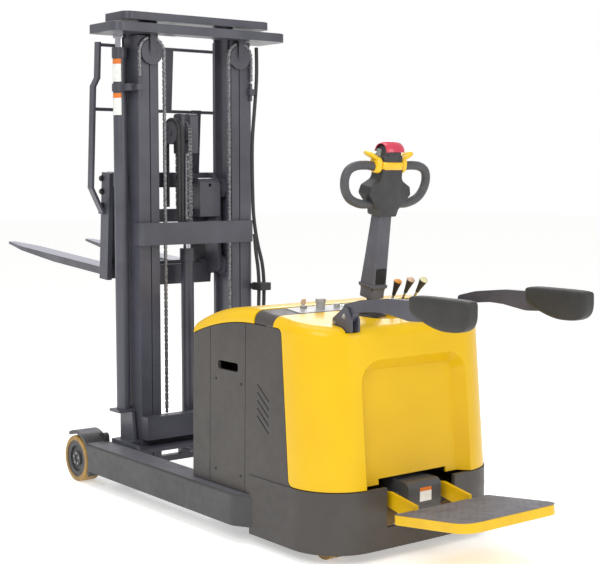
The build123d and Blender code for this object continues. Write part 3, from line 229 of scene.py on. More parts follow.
def makeFinish(name, look):
    material = bpy.data.materials.new(name)
    material.use_nodes = True
    tree = material.node_tree
    tree.nodes.clear()
    place = addNode(tree, "ShaderNodeTexCoord").outputs["Object"]
    drift = addNode(tree, "ShaderNodeTexNoise", {"Scale": 1000 / look["patch"], "Detail": 3.0, "Roughness": 0.6},
                    {"Vector": place})
    spread = addNode(tree, "ShaderNodeMapRange", span("driftSpan"), {"Value": drift.outputs["Fac"]})
    colour = addNode(tree, "ShaderNodeMix", {"A": linear(look["base"]), "B": linear(look["tone"])},
                     {"Factor": spread.outputs["Result"]}, data_type="RGBA")
    tint = colour.outputs["Result"]
    normal = None
    if "edge" in look:  # a rounded edge turns away from its flat face, and there the paint is rubbed paler
        bevel = addNode(tree, "ShaderNodeBevel", {"Radius": look["edge"] * mm}, samples=4)
        normal = bevel.outputs["Normal"]
        flat = addNode(tree, "ShaderNodeNewGeometry")
        likeness = addNode(tree, "ShaderNodeVectorMath", None,
                           {0: normal, 1: flat.outputs["Normal"]}, operation="DOT_PRODUCT")
        scuff = addNode(tree, "ShaderNodeTexNoise", {"Scale": 1000 / finishRules["scuffSize"], "Detail": 4.0},
                        {"Vector": place})
        mask = addNode(tree, "ShaderNodeMapRange", {**span("edgeSpan"), "To Max": look["wearAmount"]},
                       {"Value": likeness.outputs["Value"]})
        rub = addNode(tree, "ShaderNodeMath", None, {0: mask.outputs["Result"], 1: scuff.outputs["Fac"]},
                      operation="MULTIPLY", use_clamp=True)
        worn = addNode(tree, "ShaderNodeMix", {"B": linear(look["wear"])},
                       {"Factor": rub.outputs["Value"], "A": tint}, data_type="RGBA")
        tint = worn.outputs["Result"]
    if "top" in look:  # painted highlight: surfaces that face up are painted paler, as if lit from above
        shape = addNode(tree, "ShaderNodeNewGeometry")
        up = addNode(tree, "ShaderNodeSeparateXYZ", None, {"Vector": shape.outputs["Normal"]})
        face = addNode(tree, "ShaderNodeMapRange", span("topHighlightSpan"), {"Value": up.outputs["Z"]})
        topHighlight = addNode(tree, "ShaderNodeMix", {"B": linear(look["top"])},
                         {"Factor": face.outputs["Result"], "A": tint}, data_type="RGBA")
        tint = topHighlight.outputs["Result"]
    if "dust" in look:  # floor dust, thick at the ground and gone 250 mm up
        height = addNode(tree, "ShaderNodeSeparateXYZ", None, {"Vector": place})
        low = addNode(tree, "ShaderNodeMapRange",
                      {"From Min": finishRules["dustTop"], "From Max": 0.0, "To Max": finishRules["dustAmount"]},
                      {"Value": height.outputs["Z"]})
        film = addNode(tree, "ShaderNodeMath", None, {0: low.outputs["Result"], 1: drift.outputs["Fac"]},
                       operation="MULTIPLY", use_clamp=True)
        dusty = addNode(tree, "ShaderNodeMix", {"B": linear(look["dust"])},
                        {"Factor": film.outputs["Value"], "A": tint}, data_type="RGBA")
        tint = dusty.outputs["Result"]
    fine = addNode(tree, "ShaderNodeTexNoise", {"Scale": 1000 / finishRules["fineSize"], "Detail": 5.0},
                   {"Vector": place})
    low, high = look["rough"]
    rough = addNode(tree, "ShaderNodeMapRange", {**span("roughSpan"), "To Min": low, "To Max": high},
                    {"Value": fine.outputs["Fac"]})
    shader = addNode(tree, "ShaderNodeBsdfPrincipled",
                     {"Metallic": look.get("metallic", 0.0), "Coat Weight": look.get("coat", 0.0),
                      "Coat Roughness": finishRules["coatRough"], "Sheen Weight": look.get("sheen", 0.0),
                      "Sheen Roughness": finishRules["sheenRough"],
                      "Specular IOR Level": look.get("specular", 0.5), "IOR": finishRules["ior"]},
                     {"Base Color": tint, "Roughness": rough.outputs["Result"]})
    if "grain" in look:
        if look.get("leather"):
            grain = addNode(tree, "ShaderNodeTexVoronoi", {"Scale": 1000 / look["grain"]}, {"Vector": place},
                            feature="SMOOTH_F1").outputs["Distance"]
        else:
            grain = addNode(tree, "ShaderNodeTexNoise", {"Scale": 1000 / look["grain"], "Detail": 2.0},
                            {"Vector": place}).outputs["Fac"]
        bump = addNode(tree, "ShaderNodeBump", {"Strength": 1.0, "Distance": look["depth"] * mm}, {"Height": grain})
        if normal:
            tree.links.new(normal, bump.inputs["Normal"])
        normal = bump.outputs["Normal"]
    if normal:
        tree.links.new(normal, shader.inputs["Normal"])
    addNode(tree, "ShaderNodeOutputMaterial", None, {"Surface": shader.outputs["BSDF"]})
    return material


finish = {name: makeFinish(name, look) for name, look in finishes.items()}
print("finishes ready:", len(finish))

# ---- what each CAD node is made of

nodeFinishes = {
    "mastEnamel": ["outer_rails", "mast_base", "mid_strap", "lift_cylinders", "middle_rails", "lower_head",
                   "inner_rails",
                   "upper_head", "free_lift_cylinder", "free_lift_head", "fork_carriage", "fork_frame",
                   "load_backrest",
                   "chain_sheaves", "guard_brackets", "left_guard_arm", "right_guard_arm", "front_bulkhead"],
    "legEnamel": ["left_leg", "right_leg", "base_frame", "drive_unit", "left_caster_fork", "right_caster_fork"],
    "forkEnamel": ["left_fork", "right_fork"],
    "yellowGloss": ["rear_cover", "battery_hood"],
    "yellowPowder": ["platform_frame"],
    "panelPowder": ["side_panels", "rear_skirt", "console_band"],
    "castPolyurethane": ["left_load_tyre", "right_load_tyre", "drive_wheel", "left_caster_wheel",
                         "right_caster_wheel"],
    "castIron": ["left_load_hub", "right_load_hub"],
    "hoseRubber": ["mast_hoses", "free_lift_hoses", "battery"],
    "gripRubber": ["tiller_grips"],
    "hardChrome": ["lift_rods", "free_lift_rod"],
    "chainSteel": ["lift_chains", "free_lift_chain"],
    "consoleLacquer": ["console_panel"],
    "boxPlastic": ["step_box"],
    "blackPlastic": ["tiller_base", "tiller_head", "tiller_neck", "control_levers", "left_guard_pad",
                     "right_guard_pad",
                     "reach_cylinder"],
    "redGloss": ["belly_button"],
    "yellowCap": ["thumb_wings"],
    "treadRubber": ["platform_mat"],
}
for name, members in nodeFinishes.items():
    for node in members:
        nodes[node].data.materials.clear()
        nodes[node].data.materials.append(finish[name])

# ---- shapes: a shape is (points, faces); every one is a stack of closed rings


def loft(rings, wrap=False):  # quads between neighbouring rings, and a flat cap on each end unless the stack closes
    count, sides = rings.shape[:2]
    index = np.arange(count * sides).reshape(count, sides)
    low = index if wrap else index[:-1]
    high = np.roll(index, -1, 0) if wrap else index[1:]
    quads = np.stack([low, np.roll(low, -1, 1), np.roll(high, -1, 1), high], -1).reshape(-1, 4).tolist()
    caps = [] if wrap else [index[0][::-1].tolist(), index[-1].tolist()]
    return rings.reshape(-1, 3), quads + caps


def prisms(pairs):  # many two-ring solids at once, indexed (solid, ring, corner): quads round each, a cap on each end
    count, _, sides = pairs.shape[:3]
    index = np.arange(count * 2 * sides).reshape(count, 2, sides)
    low, high = index[:, 0], index[:, 1]
    quads = np.stack([low, np.roll(low, -1, 1), np.roll(high, -1, 1), high], -1).reshape(-1, 4).tolist()
    return pairs.reshape(-1, 3), quads + low[:, ::-1].tolist() + high.tolist()


def joined(*shapes):  # several shapes as one, faces renumbered
    points, faces, start = [], [], 0
    for some, theirs in shapes:
        points.append(some)
        faces += [[i + start for i in face] for face in theirs]
        start += len(some)
    return np.concatenate(points), faces


def axes(direction, near=(0, 0, 1)):  # two unit vectors square to direction, the first nearest to near
    along = np.asarray(direction, float) / np.linalg.norm(direction)
    first = np.asarray(near, float) - np.dot(near, along) * along
    if np.linalg.norm(first) < 1e-6:
        first = np.asarray((1.0, 0, 0)) - along[0] * along
    first /= np.linalg.norm(first)
    return first, np.cross(along, first), along


def turnedShape(profile, start, direction, sides=32, wrap=False):
    # (radius, height) pairs swept round the axis: point = start + r cos t e1 + r sin t e2 + h axis
    first, second, along = axes(direction)
    profile = np.asarray(profile, float)
    angle = np.linspace(0, 2 * np.pi, sides, endpoint=False)
    spokes = np.cos(angle)[:, None] * first + np.sin(angle)[:, None] * second
    rings = np.asarray(start) + profile[:, 0, None, None] * spokes + profile[:, 1, None, None] * along
    return loft(rings, wrap)


def roundedOutline(halfA, halfB, radius, steps=6):
    # rectangle with quarter circles at its corners, as (a, b) pairs
    turn = np.linspace(0, np.pi / 2, steps)
    corners = []
    for k, (sa, sb) in enumerate(((1, 1), (-1, 1), (-1, -1), (1, -1))):
        angle = turn + k * np.pi / 2
        corners.append(np.stack([sa * (halfA - radius) + radius * np.cos(angle),
                                 sb * (halfB - radius) + radius * np.sin(angle)], -1))
    return np.concatenate(corners)


def slab(outline, heights, insets, frameAxes, origin):
    # outline in (a, b), stacked along c at each height and drawn in by each inset towards its middle
    outline = np.asarray(outline, float)
    middle = (outline.max(0) + outline.min(0)) / 2
    half = (outline.max(0) - outline.min(0)) / 2
    a, b, c = (np.asarray(axis, float) for axis in frameAxes)
    rings = []
    for height, inset in zip(heights, insets):
        ring = middle + (outline - middle) * (1 - inset / half)
        rings.append(np.asarray(origin) + ring[:, :1] * a + ring[:, 1:] * b + height * c)
    return loft(np.array(rings))


def tube(path, radius, sides=16, near=(1, 0, 0)):
    # circle carried along a path; each ring is square to the run between its neighbours
    path = np.asarray(path, float)
    run = np.gradient(path, axis=0)
    run /= np.linalg.norm(run, axis=1)[:, None]
    first = np.asarray(near, float) - (run @ np.asarray(near, float))[:, None] * run
    first /= np.linalg.norm(first, axis=1)[:, None]
    second = np.cross(run, first)
    angle = np.linspace(0, 2 * np.pi, sides, endpoint=False)
    radius = np.broadcast_to(np.asarray(radius, float), (len(path),))
    rings = path[:, None] + radius[:, None, None] * (
        np.cos(angle)[None, :, None] * first[:, None] + np.sin(angle)[None, :, None] * second[:, None])
    return loft(rings)


def softBox(centre, half, power, frameAxes=((1, 0, 0), (0, 1, 0), (0, 0, 1)), rings=20, sides=32):
    # superellipsoid: each coordinate is its half size times sign(cos) |cos| ^ power
    across = np.linspace(-np.pi / 2, np.pi / 2, rings + 2)[1:-1]
    around = np.linspace(0, 2 * np.pi, sides, endpoint=False)
    bend = lambda value: np.sign(value) * np.abs(value) ** power
    ring = bend(np.cos(across))[:, None]
    local = np.stack([half[0] * ring * bend(np.cos(around)), half[1] * ring * bend(np.sin(around)),
                      half[2] * np.repeat(bend(np.sin(across))[:, None], sides, 1)], -1)
    return loft(np.asarray(centre) + local @ np.asarray(frameAxes, float))


def mirrored(shape):  # the same shape on the truck's other side; its faces are turned over to match
    points, faces = shape
    return points * (1, -1, 1), [face[::-1] for face in faces]


def makePiece(name, shape, body, look, smooth=40, stands=()):
    # faces turned outward, edges sharper than smooth degrees kept, finish, body and the CAD pieces it stands for
    mesh = bpy.data.meshes.new(name)
    mesh.from_pydata(np.asarray(shape[0]).tolist(), [], shape[1])
    work = bmesh.new()
    work.from_mesh(mesh)
    bmesh.ops.recalc_face_normals(work, faces=work.faces)
    work.to_mesh(mesh)
    work.free()
    mesh.polygons.foreach_set("use_smooth", [True] * len(mesh.polygons))
    mesh.set_sharp_from_angle(angle=math.radians(smooth))
    mesh.materials.append(finish[look])
    piece = bpy.data.objects.new(name, mesh)
    bpy.context.scene.collection.objects.link(piece)
    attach(piece, body)
    if stands:
        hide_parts(*stands)
    return piece


axleX = joints["left_load_spin"]["pos_m"][0]


def spot(x, y, z):  # millimetres from the load wheels' axle to metres in the row frame
    return np.array([axleX + x * mm, y * mm, z * mm])


boltLook = {"washer": 1.5, "washerReach": 1.22, "chamfer": 0.9, "chamferStart": 1.0, "crown": 0.4}


def hexBolt(place, direction, flats, tall):
    # turned profile with six sides: radius r up to just under the top, then 0.9 r; the washer is 1.22 r wide
    r = flats * mm / math.sqrt(3)
    washer = boltLook["washer"] * mm
    head = turnedShape([(r, washer), (r, (tall - boltLook["chamferStart"]) * mm),
                        (r * boltLook["chamfer"], (tall + boltLook["crown"]) * mm)], place, direction, 6)
    ring = turnedShape([(r * boltLook["washerReach"], 0), (r * boltLook["washerReach"], washer)], place, direction,
                       20)
    return joined(ring, head)


# ---- side guards' pads: D-shaped, straight above, full below

padLook = {
    "squareness": 0.42, "bulge": 0.62, "bulgePower": 1.6, "belly": (0.66, 0.34), "endPower": 4.2, "sidePower": 0.6,
    "frontDrop": 0.16, "rearDrop": 0.10, "rings": 44, "sides": 48,
    "trim": (0.005, 0.014, 0.009, 0.002),  # metres at the rear, front, underside and top
}


def guardPad(node):
    # u runs back from 0 to 1; ends close as c(u) = (1 - |2u - 1| ^ 4.2) ^ (1 / 4.2)
    # height = box height times c(u) times (0.66 + 0.34 sin(u / 0.62 quarter turns) ^ 1.6), half width times c(u) ^ 0.6
    # round the section y = half width |cos t| ^ 0.42 and z = half height |sin t| ^ 0.42, each with its own sign
    low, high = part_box(node)
    rear, front, under, over = padLook["trim"]  # the skin sits this far inside the moulding's box
    low, high = low + Vector((rear, 0, under)), high - Vector((front, 0, over))
    u = (1 - np.cos(np.linspace(0.06, np.pi - 0.06, padLook["rings"]))) / 2
    close = (1 - np.abs(2 * u - 1) ** padLook["endPower"]) ** (1 / padLook["endPower"])
    x = high.x - u * (high.x - low.x)
    depth = high.z - low.z
    slim, full = padLook["belly"]
    belly = slim + full * np.sin(np.clip(u / padLook["bulge"], 0, 1) * np.pi / 2) ** padLook["bulgePower"]
    tall = depth * belly * close
    drop = depth * (1 - close) * np.where(u < 0.5, padLook["frontDrop"], padLook["rearDrop"])
    angle = np.linspace(0, 2 * np.pi, padLook["sides"], endpoint=False)
    bend = lambda value: np.sign(value) * np.abs(value) ** padLook["squareness"]
    half = (high.y - low.y) / 2 * close ** padLook["sidePower"]
    points = np.stack([np.repeat(x[:, None], len(angle), 1),
                       (low.y + high.y) / 2 + half[:, None] * bend(np.cos(angle)),
                       (high.z - drop - tall / 2)[:, None] + tall[:, None] / 2 * bend(np.sin(angle))], -1)
    return loft(points)


for side in ("left", "right"):
    node = f"{side}_guard_pad"
    pad = makePiece(f"{side}_foam_pad", guardPad(node), f"{side}_guard", "foamSkin", smooth=70,
                    stands=(node,))
print("pads ready")

# ---- chains: leaf plates laced on pins

chainLook = {
    "pitch": 19.05, "plateHeight": 17.0, "plateThick": 2.4, "waist": 0.6, "waistPower": 0.5, "waistGain": 1.2,
    "endPower": 0.7, "pinRadius": 0.24, "pinProud": 1.2, "laces": ((-1.4, 1.4), (-4.2, 4.2)),
}


def chainAlong(path, height, laces, lamination, pitch):
    # pins every pitch along the path; plate i spans pins i and i + 1. Its outline at turn t is an eight:
    # along = (pitch + h) / 2 |cos t| ^ 0.7 with the sign of cos t, up = h / 2 sin t (w + 1.2 (1 - w) sqrt |cos t|)
    path = np.asarray(path, float)
    steps = np.linalg.norm(np.diff(path, axis=0), axis=1)
    travel = np.concatenate([[0], np.cumsum(steps)])
    at = np.arange(0, travel[-1], pitch)
    pins = np.stack([np.interp(at, travel, path[:, k]) for k in range(3)], -1)
    middle, along = (pins[1:] + pins[:-1]) / 2, pins[1:] - pins[:-1]
    along /= np.linalg.norm(along, axis=1)[:, None]
    lamination = np.asarray(lamination, float)
    upward = np.cross(lamination, along)
    angle = np.linspace(0, 2 * np.pi, 12, endpoint=False)
    reachA = np.abs(np.cos(angle)) ** chainLook["endPower"]
    a = (pitch / 2 + height / 2) * np.sign(np.cos(angle)) * reachA
    swell = (1 - chainLook["waist"]) * np.abs(np.cos(angle)) ** chainLook["waistPower"] * chainLook["waistGain"]
    b = height / 2 * np.sin(angle) * (chainLook["waist"] + swell)
    shapes = []
    thick = chainLook["plateThick"] * mm / 2
    for parity in (0, 1):
        m, d, n = middle[parity::2], along[parity::2], upward[parity::2]
        for offset in np.array(laces[parity]) * mm:
            ring = m[:, None] + a[None, :, None] * d[:, None] + b[None, :, None] * n[:, None]
            shapes.append(prisms(np.stack([ring + (offset - thick) * lamination,
                                           ring + (offset + thick) * lamination], 1)))
    reach = max(map(max, map(np.abs, laces))) * mm + thick + chainLook["pinProud"] * mm
    ring = np.linspace(0, 2 * np.pi, 8, endpoint=False)
    d, n = along[1:, None], upward[1:, None]
    circle = pins[1:-1, None] + height * chainLook["pinRadius"] * (
        np.cos(ring)[None, :, None] * d + np.sin(ring)[None, :, None] * n)
    shapes.append(prisms(np.stack([circle - reach * lamination, circle + reach * lamination], 1)))
    return joined(*shapes)


def overSheave(centreA, centreZ, radius, lowA, lowB, steps=24):
    # up one side, round the wheel, down the other: (a, z) pairs
    turn = np.linspace(np.pi, 0, steps)
    arc = np.stack([centreA + radius * np.cos(turn), centreZ + radius * np.sin(turn)], -1)
    return np.concatenate([[(centreA - radius, lowA)], arc, [(centreA + radius, lowB)]])


low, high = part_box("lift_chains")
chainSide = {"wheelRadius": 54.0, "chainHeight": 18.0, "outerEnd": 1828.0}
centreY = high.y - (chainSide["wheelRadius"] + chainSide["chainHeight"]) * mm
centreZ = high.z - (chainSide["wheelRadius"] + chainSide["chainHeight"]) * mm
route = overSheave(centreY, centreZ, (chainSide["wheelRadius"] + chainSide["chainHeight"] / 2) * mm,
                   low.z, chainSide["outerEnd"] * mm)
midX = (low.x + high.x) / 2
path = np.stack([np.full(len(route), midX), route[:, 0], route[:, 1]], -1)
leftChain = chainAlong(path, chainLook["plateHeight"] * mm, chainLook["laces"], (1, 0, 0), chainLook["pitch"] * mm)
makePiece("lift_leaf_chains", joined(leftChain, mirrored(leftChain)), "middle_mast", "chainSteel",
          smooth=30, stands=("lift_chains",))

low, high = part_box("free_lift_chain")
freeWheel = {"radius": 47.0, "thick": 12.0, "backEnd": 1100.0, "frontEnd": 1240.0, "plateHeight": 11.5, "pitch": 15.9,
             "laces": ((-5.6, 0.0, 5.6), (-8.4, -2.8, 2.8, 8.4))}
centreX, centreZ = (low.x + high.x) / 2, high.z - (freeWheel["radius"] + freeWheel["thick"]) * mm
route = overSheave(centreX, centreZ, (freeWheel["radius"] + freeWheel["thick"] / 2) * mm,
                   freeWheel["backEnd"] * mm, freeWheel["frontEnd"] * mm)
path = np.stack([route[:, 0], np.full(len(route), (low.y + high.y) / 2), route[:, 1]], -1)
freeChain = chainAlong(path, freeWheel["plateHeight"] * mm, freeWheel["laces"], (0, 1, 0), freeWheel["pitch"] * mm)
makePiece("free_lift_leaf_chain", freeChain, "free_lift", "chainSteel", smooth=30,
          stands=("free_lift_chain",))
print("chains ready")


# ---- tiller: everything on it is drawn upright about its pin and leaned back

tillerLook = {
    "lean": 10.0, "headFoot": 280.0, "headTop": 208.0,
    "neck": [(8, 38, 36, 9), (14, 39, 36, 9), (120, 34, 33, 8), (284, 26, 31, 7)],  # u, half f, half y, corner
    "collar": [(-40, 35, 35, 15), (-38, 38, 37, 17), (-2, 38, 37, 17), (3, 44, 42, 14), (11, 45, 43, 14),
               (14, 43, 41, 12)],
    "head": [(-44, 0), (44, 0), (50, 26), (104, 84), (96, 114), (50, 140), (46, 206),
             (-46, 206), (-50, 140), (-96, 114), (-104, 84), (-50, 26)],
    "headRadii": [6, 6, 8, 7, 6, 14, 6, 6, 14, 6, 7, 8],
    "grip": [(24, 54), (66, 46), (116, 46), (166, 64), (194, 96), (203, 136),
             (192, 170), (160, 188), (112, 192), (68, 187), (30, 176)],
    "gripRadius": 17.0,
}
lean = math.radians(tillerLook["lean"])
tillerAxes = np.array([(math.cos(lean), 0, math.sin(lean)), (0, 1, 0), (-math.sin(lean), 0, math.cos(lean))])
tillerPin = np.array(joints["tiller_tilt"]["pos_m"])


def onTiller(f, y, u):  # forward, side, up the neck, in millimetres
    return tillerPin + np.array((f, y, u)) @ tillerAxes * mm


def stack(levels, frameAxes, origin, steps=6):
    # rounded rectangles piled along c: each level is (c, half a, half b, corner radius, shift along a)
    a, b, c = (np.asarray(axis, float) for axis in frameAxes)
    rings = []
    for height, halfA, halfB, radius, *shift in levels:
        ring = roundedOutline(halfA, halfB, radius, steps) * mm
        ring[:, 0] += (shift[0] if shift else 0) * mm
        rings.append(np.asarray(origin) + ring[:, :1] * a + ring[:, 1:] * b + height * mm * c)
    return loft(np.array(rings))


def roundedPolygon(points, radii, steps=5):
    # each corner becomes a quadratic curve that starts and ends its radius away along the two sides
    points = np.asarray(points, float)
    t = np.linspace(0, 1, steps)[:, None]
    arcs = []
    for k, (corner, radius) in enumerate(zip(points, radii)):
        toLast, toNext = points[k - 1] - corner, points[(k + 1) % len(points)] - corner
        start = corner + toLast / np.linalg.norm(toLast) * radius
        end = corner + toNext / np.linalg.norm(toNext) * radius
        arcs.append((1 - t) ** 2 * start + 2 * t * (1 - t) * corner + t ** 2 * end)
    return np.concatenate(arcs)


def smoothPath(points, steps=10):
    # Catmull-Rom: each span is the cubic that leaves every point along the line between its neighbours
    points = np.asarray(points, float)
    padded = np.concatenate([[2 * points[0] - points[1]], points, [2 * points[-1] - points[-2]]])
    t = np.linspace(0, 1, steps, endpoint=False)[:, None]
    spans = [0.5 * (2 * b + (c - a) * t + (2 * a - 5 * b + 4 * c - d) * t ** 2 + (3 * b - a - 3 * c + d) * t ** 3)
             for a, b, c, d in zip(padded, padded[1:], padded[2:], padded[3:])]
    return np.concatenate(spans + [points[-1:]])


def tillerHead():  # the rounded outline carried from rear to front, drawn in a little at both faces
    outline = roundedPolygon(tillerLook["head"], tillerLook["headRadii"]) * mm
    return slab(outline, np.array((-35, -34, -31, 26, 31, 33)) * mm, np.array((2.6, 0.8, 0, 0, 1.2, 4)) * mm,
                (tillerAxes[1], tillerAxes[2], tillerAxes[0]), onTiller(0, 0, tillerLook["headFoot"]))


def tillerGrip():
    # circle of radius r carried round the loop: r + 1.6 in the first and last tenth, 1.4 less again at the very ends
    route = smoothPath(tillerLook["grip"]) * mm
    path = onTiller(-2, 0, tillerLook["headFoot"]) + route[:, :1] * tillerAxes[1] + route[:, 1:] * tillerAxes[2]
    along = np.linspace(0, 1, len(path))
    radius = (tillerLook["gripRadius"] + 1.6 * (np.abs(along - 0.5) > 0.4) - 1.4 * (np.abs(along - 0.5) > 0.46)) * mm
    return tube(path, radius, 24, near=tillerAxes[0])


makePiece("tiller_neck_cover", joined(stack(tillerLook["neck"], tillerAxes, tillerPin),
                                      stack(tillerLook["collar"], tillerAxes, tillerPin)),
          "tiller", "greyPlastic", stands=("tiller_neck",))
makePiece("tiller_head_shell", tillerHead(), "tiller", "blackPlastic", stands=("tiller_head",))
grip = tillerGrip()
makePiece("tiller_loop_grips", joined(grip, mirrored(grip)), "tiller", "gripRubber", smooth=60,
          stands=("tiller_grips",))

foot = tillerLook["headFoot"]
top = foot + tillerLook["headTop"]
band = stack([(top - 29, 36, 47, 12), (top - 27, 39, 50, 14), (top - 2, 39, 50, 14), (top, 37, 48, 12)],
             tillerAxes, tillerPin, 8)
# the wings' upper ears tip up to the sides
flatShare, tipShare = 0.91, 0.42
raised = (tillerAxes[0], flatShare * tillerAxes[1] + tipShare * tillerAxes[2],
          flatShare * tillerAxes[2] - tipShare * tillerAxes[1])
lobe = joined(softBox(onTiller(-4, 61, top - 14), np.array((30, 15, 31)) * mm, 0.75, tillerAxes),
              softBox(onTiller(2, 84, top + 19), np.array((24, 34, 10)) * mm, 0.8, raised))
makePiece("butterfly_wings", joined(band, lobe, mirrored(lobe)), "tiller", "yellowCap", smooth=60,
          stands=("thumb_wings",))

capLook = {"halfF": 44.0, "halfY": 44.0, "rise": 56.0, "thick": 3.5, "from": 12.0, "to": 162.0, "power": 0.86,
           "sag": 0.1, "edgeSag": 0.06}


def redCap():
    # arch carried across: f = F |cos p| ^ k, u = U |sin p| ^ k, both times 1 - 0.1 a^2 - 0.06 a^8 from side to side
    arch = np.radians(np.linspace(capLook["from"], capLook["to"], 26))
    across = np.linspace(-1, 1, 13)
    bend = lambda value: np.sign(value) * np.abs(value) ** capLook["power"]
    shells = []
    for grow in (0, -capLook["thick"]):
        crown = 1 - capLook["sag"] * across ** 2 - capLook["edgeSag"] * across ** 8
        f = (capLook["halfF"] + grow) * bend(np.cos(arch))[:, None] * crown
        u = (capLook["rise"] + grow) * bend(np.sin(arch))[:, None] * crown
        y = np.repeat((capLook["halfY"] * across)[None], len(arch), 0)
        shells.append(np.stack([f, y, u], -1))
    rings = np.concatenate([shells[0][:, ::-1], shells[1]], 1)
    return loft(tillerPin + (rings + (-2, 0, top + 20)) @ tillerAxes * mm)


makePiece("belly_switch_cap", redCap(), "tiller", "redGloss", smooth=55, stands=("belly_button",))
domeBody = joined(stack([(top - 1, 35, 45, 12), (top + 22, 36, 44, 12), (top + 24, 34, 42, 11)],
                        tillerAxes, tillerPin, 8),
                  softBox(onTiller(-1, 0, top + 22), np.array((36, 42, 44)) * mm, 0.6, tillerAxes))
makePiece("tiller_top_body", domeBody, "tiller", "blackPlastic", smooth=55)
screen = slab(roundedOutline(13 * mm, 15 * mm, 3 * mm), np.array((0, 2.0, 2.6)) * mm, np.array((0, 0, 0.8)) * mm,
              (tillerAxes[0], tillerAxes[2], tillerAxes[1]), onTiller(8, 43.0, top + 30))
makePiece("tiller_display", screen, "tiller", "displayGlass")
# painted shade: a dark sheet over the shaded opening low on the neck's rear face
neckShadeSheet = slab(roundedOutline(24 * mm, 30 * mm, 4 * mm), np.array((0, 1.6, 2.2)) * mm, np.array((0, 0, 0.8)) * mm,
              (tillerAxes[1], tillerAxes[2], -tillerAxes[0]), onTiller(-37.4, 0, 48))
makePiece("neck_opening_shade", neckShadeSheet, "tiller", "neckOpeningShade")

# turning foot: rounded square boot, the round drum of the tilt pivot and the tube that joins them
footLook = {
    "ahead": 10.0, "tubeAhead": 5.0,
    "boot": [(858, 50, 48, 24), (862, 50, 48, 24), (868, 41, 39, 20), (911, 39, 38, 18), (915, 37, 36, 17)],
    "drum": [(33, -33), (36, -31), (36, 31), (33, 33)], "tube": [(20, -59), (20, -30)],
}
steer = np.array((tillerPin[0] + footLook["ahead"] * mm, 0, 0))
boot = stack(footLook["boot"], np.eye(3), steer)
drum = turnedShape(np.array(footLook["drum"]) * mm, tillerPin, (0, 1, 0), 40)
neckTube = turnedShape(np.array(footLook["tube"]) * mm, tillerPin + (footLook["tubeAhead"] * mm, 0, 0), (0, 0, 1), 28)
makePiece("tiller_foot", joined(boot, drum, neckTube), "drive_head", "blackPlastic",
          stands=("tiller_base",))
print("tiller ready")

# ---- three levers: bellows boot, bright stem, dark tapered handle, coloured end

leverLook = {"feet": [(-1437, -140), (-1481, -146), (-1525, -152)], "footZ": 872.0,
             "tips": [(-51, 0, 112), (-75, 0, 123), (-97, 0, 127)],
             "boot": (22, 9, 36), "ripple": 1.8, "stem": 5.0, "handle": (7.0, 16.5, 60), "endRise": 10.0,
             "ends": ["orangeKnob", "beigeKnob", "paleKnob"],
             "plinthRun": (0.993, 0, 0.115), "plinth": (72, 28, 10), "plinthZ": 874.0,
             "housing": (66, 21, 20), "housingZ": 886.0, "middle": (-1481, -146)}


def lever(foot, tip):
    # boot: radius falls from wide to narrow with a ripple, r = w + (n - w) t + 1.8 cos(10 pi t)
    # handle: r = low + (high - low) h ^ 1.3 up its length
    # coloured end: a flattened dome, 1.03 r cos a wide and 10 sin a tall
    wide, narrow, tall = leverLook["boot"]
    start = spot(*foot, leverLook["footZ"])
    end = start + np.array(tip) * mm
    run = (end - start) / np.linalg.norm(end - start)
    t = np.linspace(0, 1, 41)
    profile = np.stack([wide + (narrow - wide) * t + leverLook["ripple"] * np.cos(10 * np.pi * t), tall * t], -1) * mm
    bellows = turnedShape(profile, start, run + np.array((0, 0, 0.6)), 28)
    stem = tube([start + run * 20 * mm, start + run * 40 * mm, end - run * 6 * mm], leverLook["stem"] * mm, 12,
                near=(0, 1, 0))
    low, high, length = leverLook["handle"]
    base = end - run * length * mm
    h = np.linspace(0, 1, 9)
    cone = np.stack([low + (high - low) * h ** 1.3, length * h], -1) * mm
    handle = turnedShape(cone, base, run, 24)
    arc = np.radians(np.linspace(0, 78, 8))
    dome = turnedShape(np.stack([high * np.cos(arc) * 1.03, leverLook["endRise"] * np.sin(arc)], -1) * mm, end, run,
                       24)
    yoke = softBox(start + run * 40 * mm, np.array((13, 13, 8)) * mm, 0.4, np.eye(3))
    return bellows, joined(stem, yoke), handle, dome


parts = [lever(foot, tip) for foot, tip in zip(leverLook["feet"], leverLook["tips"])]
makePiece("lever_boots", joined(*[part[0] for part in parts]), "chassis", "gripRubber", smooth=60,
          stands=("control_levers",))
makePiece("lever_stems", joined(*[part[1] for part in parts]), "chassis", "hardChrome")
makePiece("lever_handles", joined(*[part[2] for part in parts]), "chassis", "blackPlastic")
for number, part in enumerate(parts):
    makePiece(f"lever_end_{number + 1}", part[3], "chassis", leverLook["ends"][number])
run = np.array(leverLook["plinthRun"])  # the deck's slope
halfX, halfY, corner = np.array(leverLook["plinth"]) * mm
plinth = slab(roundedOutline(halfX, halfY, corner), np.array((0, 5, 7)) * mm, np.array((0, 0, 1.5)) * mm,
              (run, (0, 1, 0), np.cross(run, (0, 1, 0))), spot(*leverLook["middle"], leverLook["plinthZ"]))
housing = softBox(spot(*leverLook["middle"], leverLook["housingZ"]), np.array(leverLook["housing"]) * mm, 0.25)
makePiece("lever_housing", housing, "chassis", "blackPlastic", smooth=50)
makePiece("lever_plinth", plinth, "chassis", "zincPlate")
print("levers ready")

# ---- platform tread: rubber mat with slanting lozenges

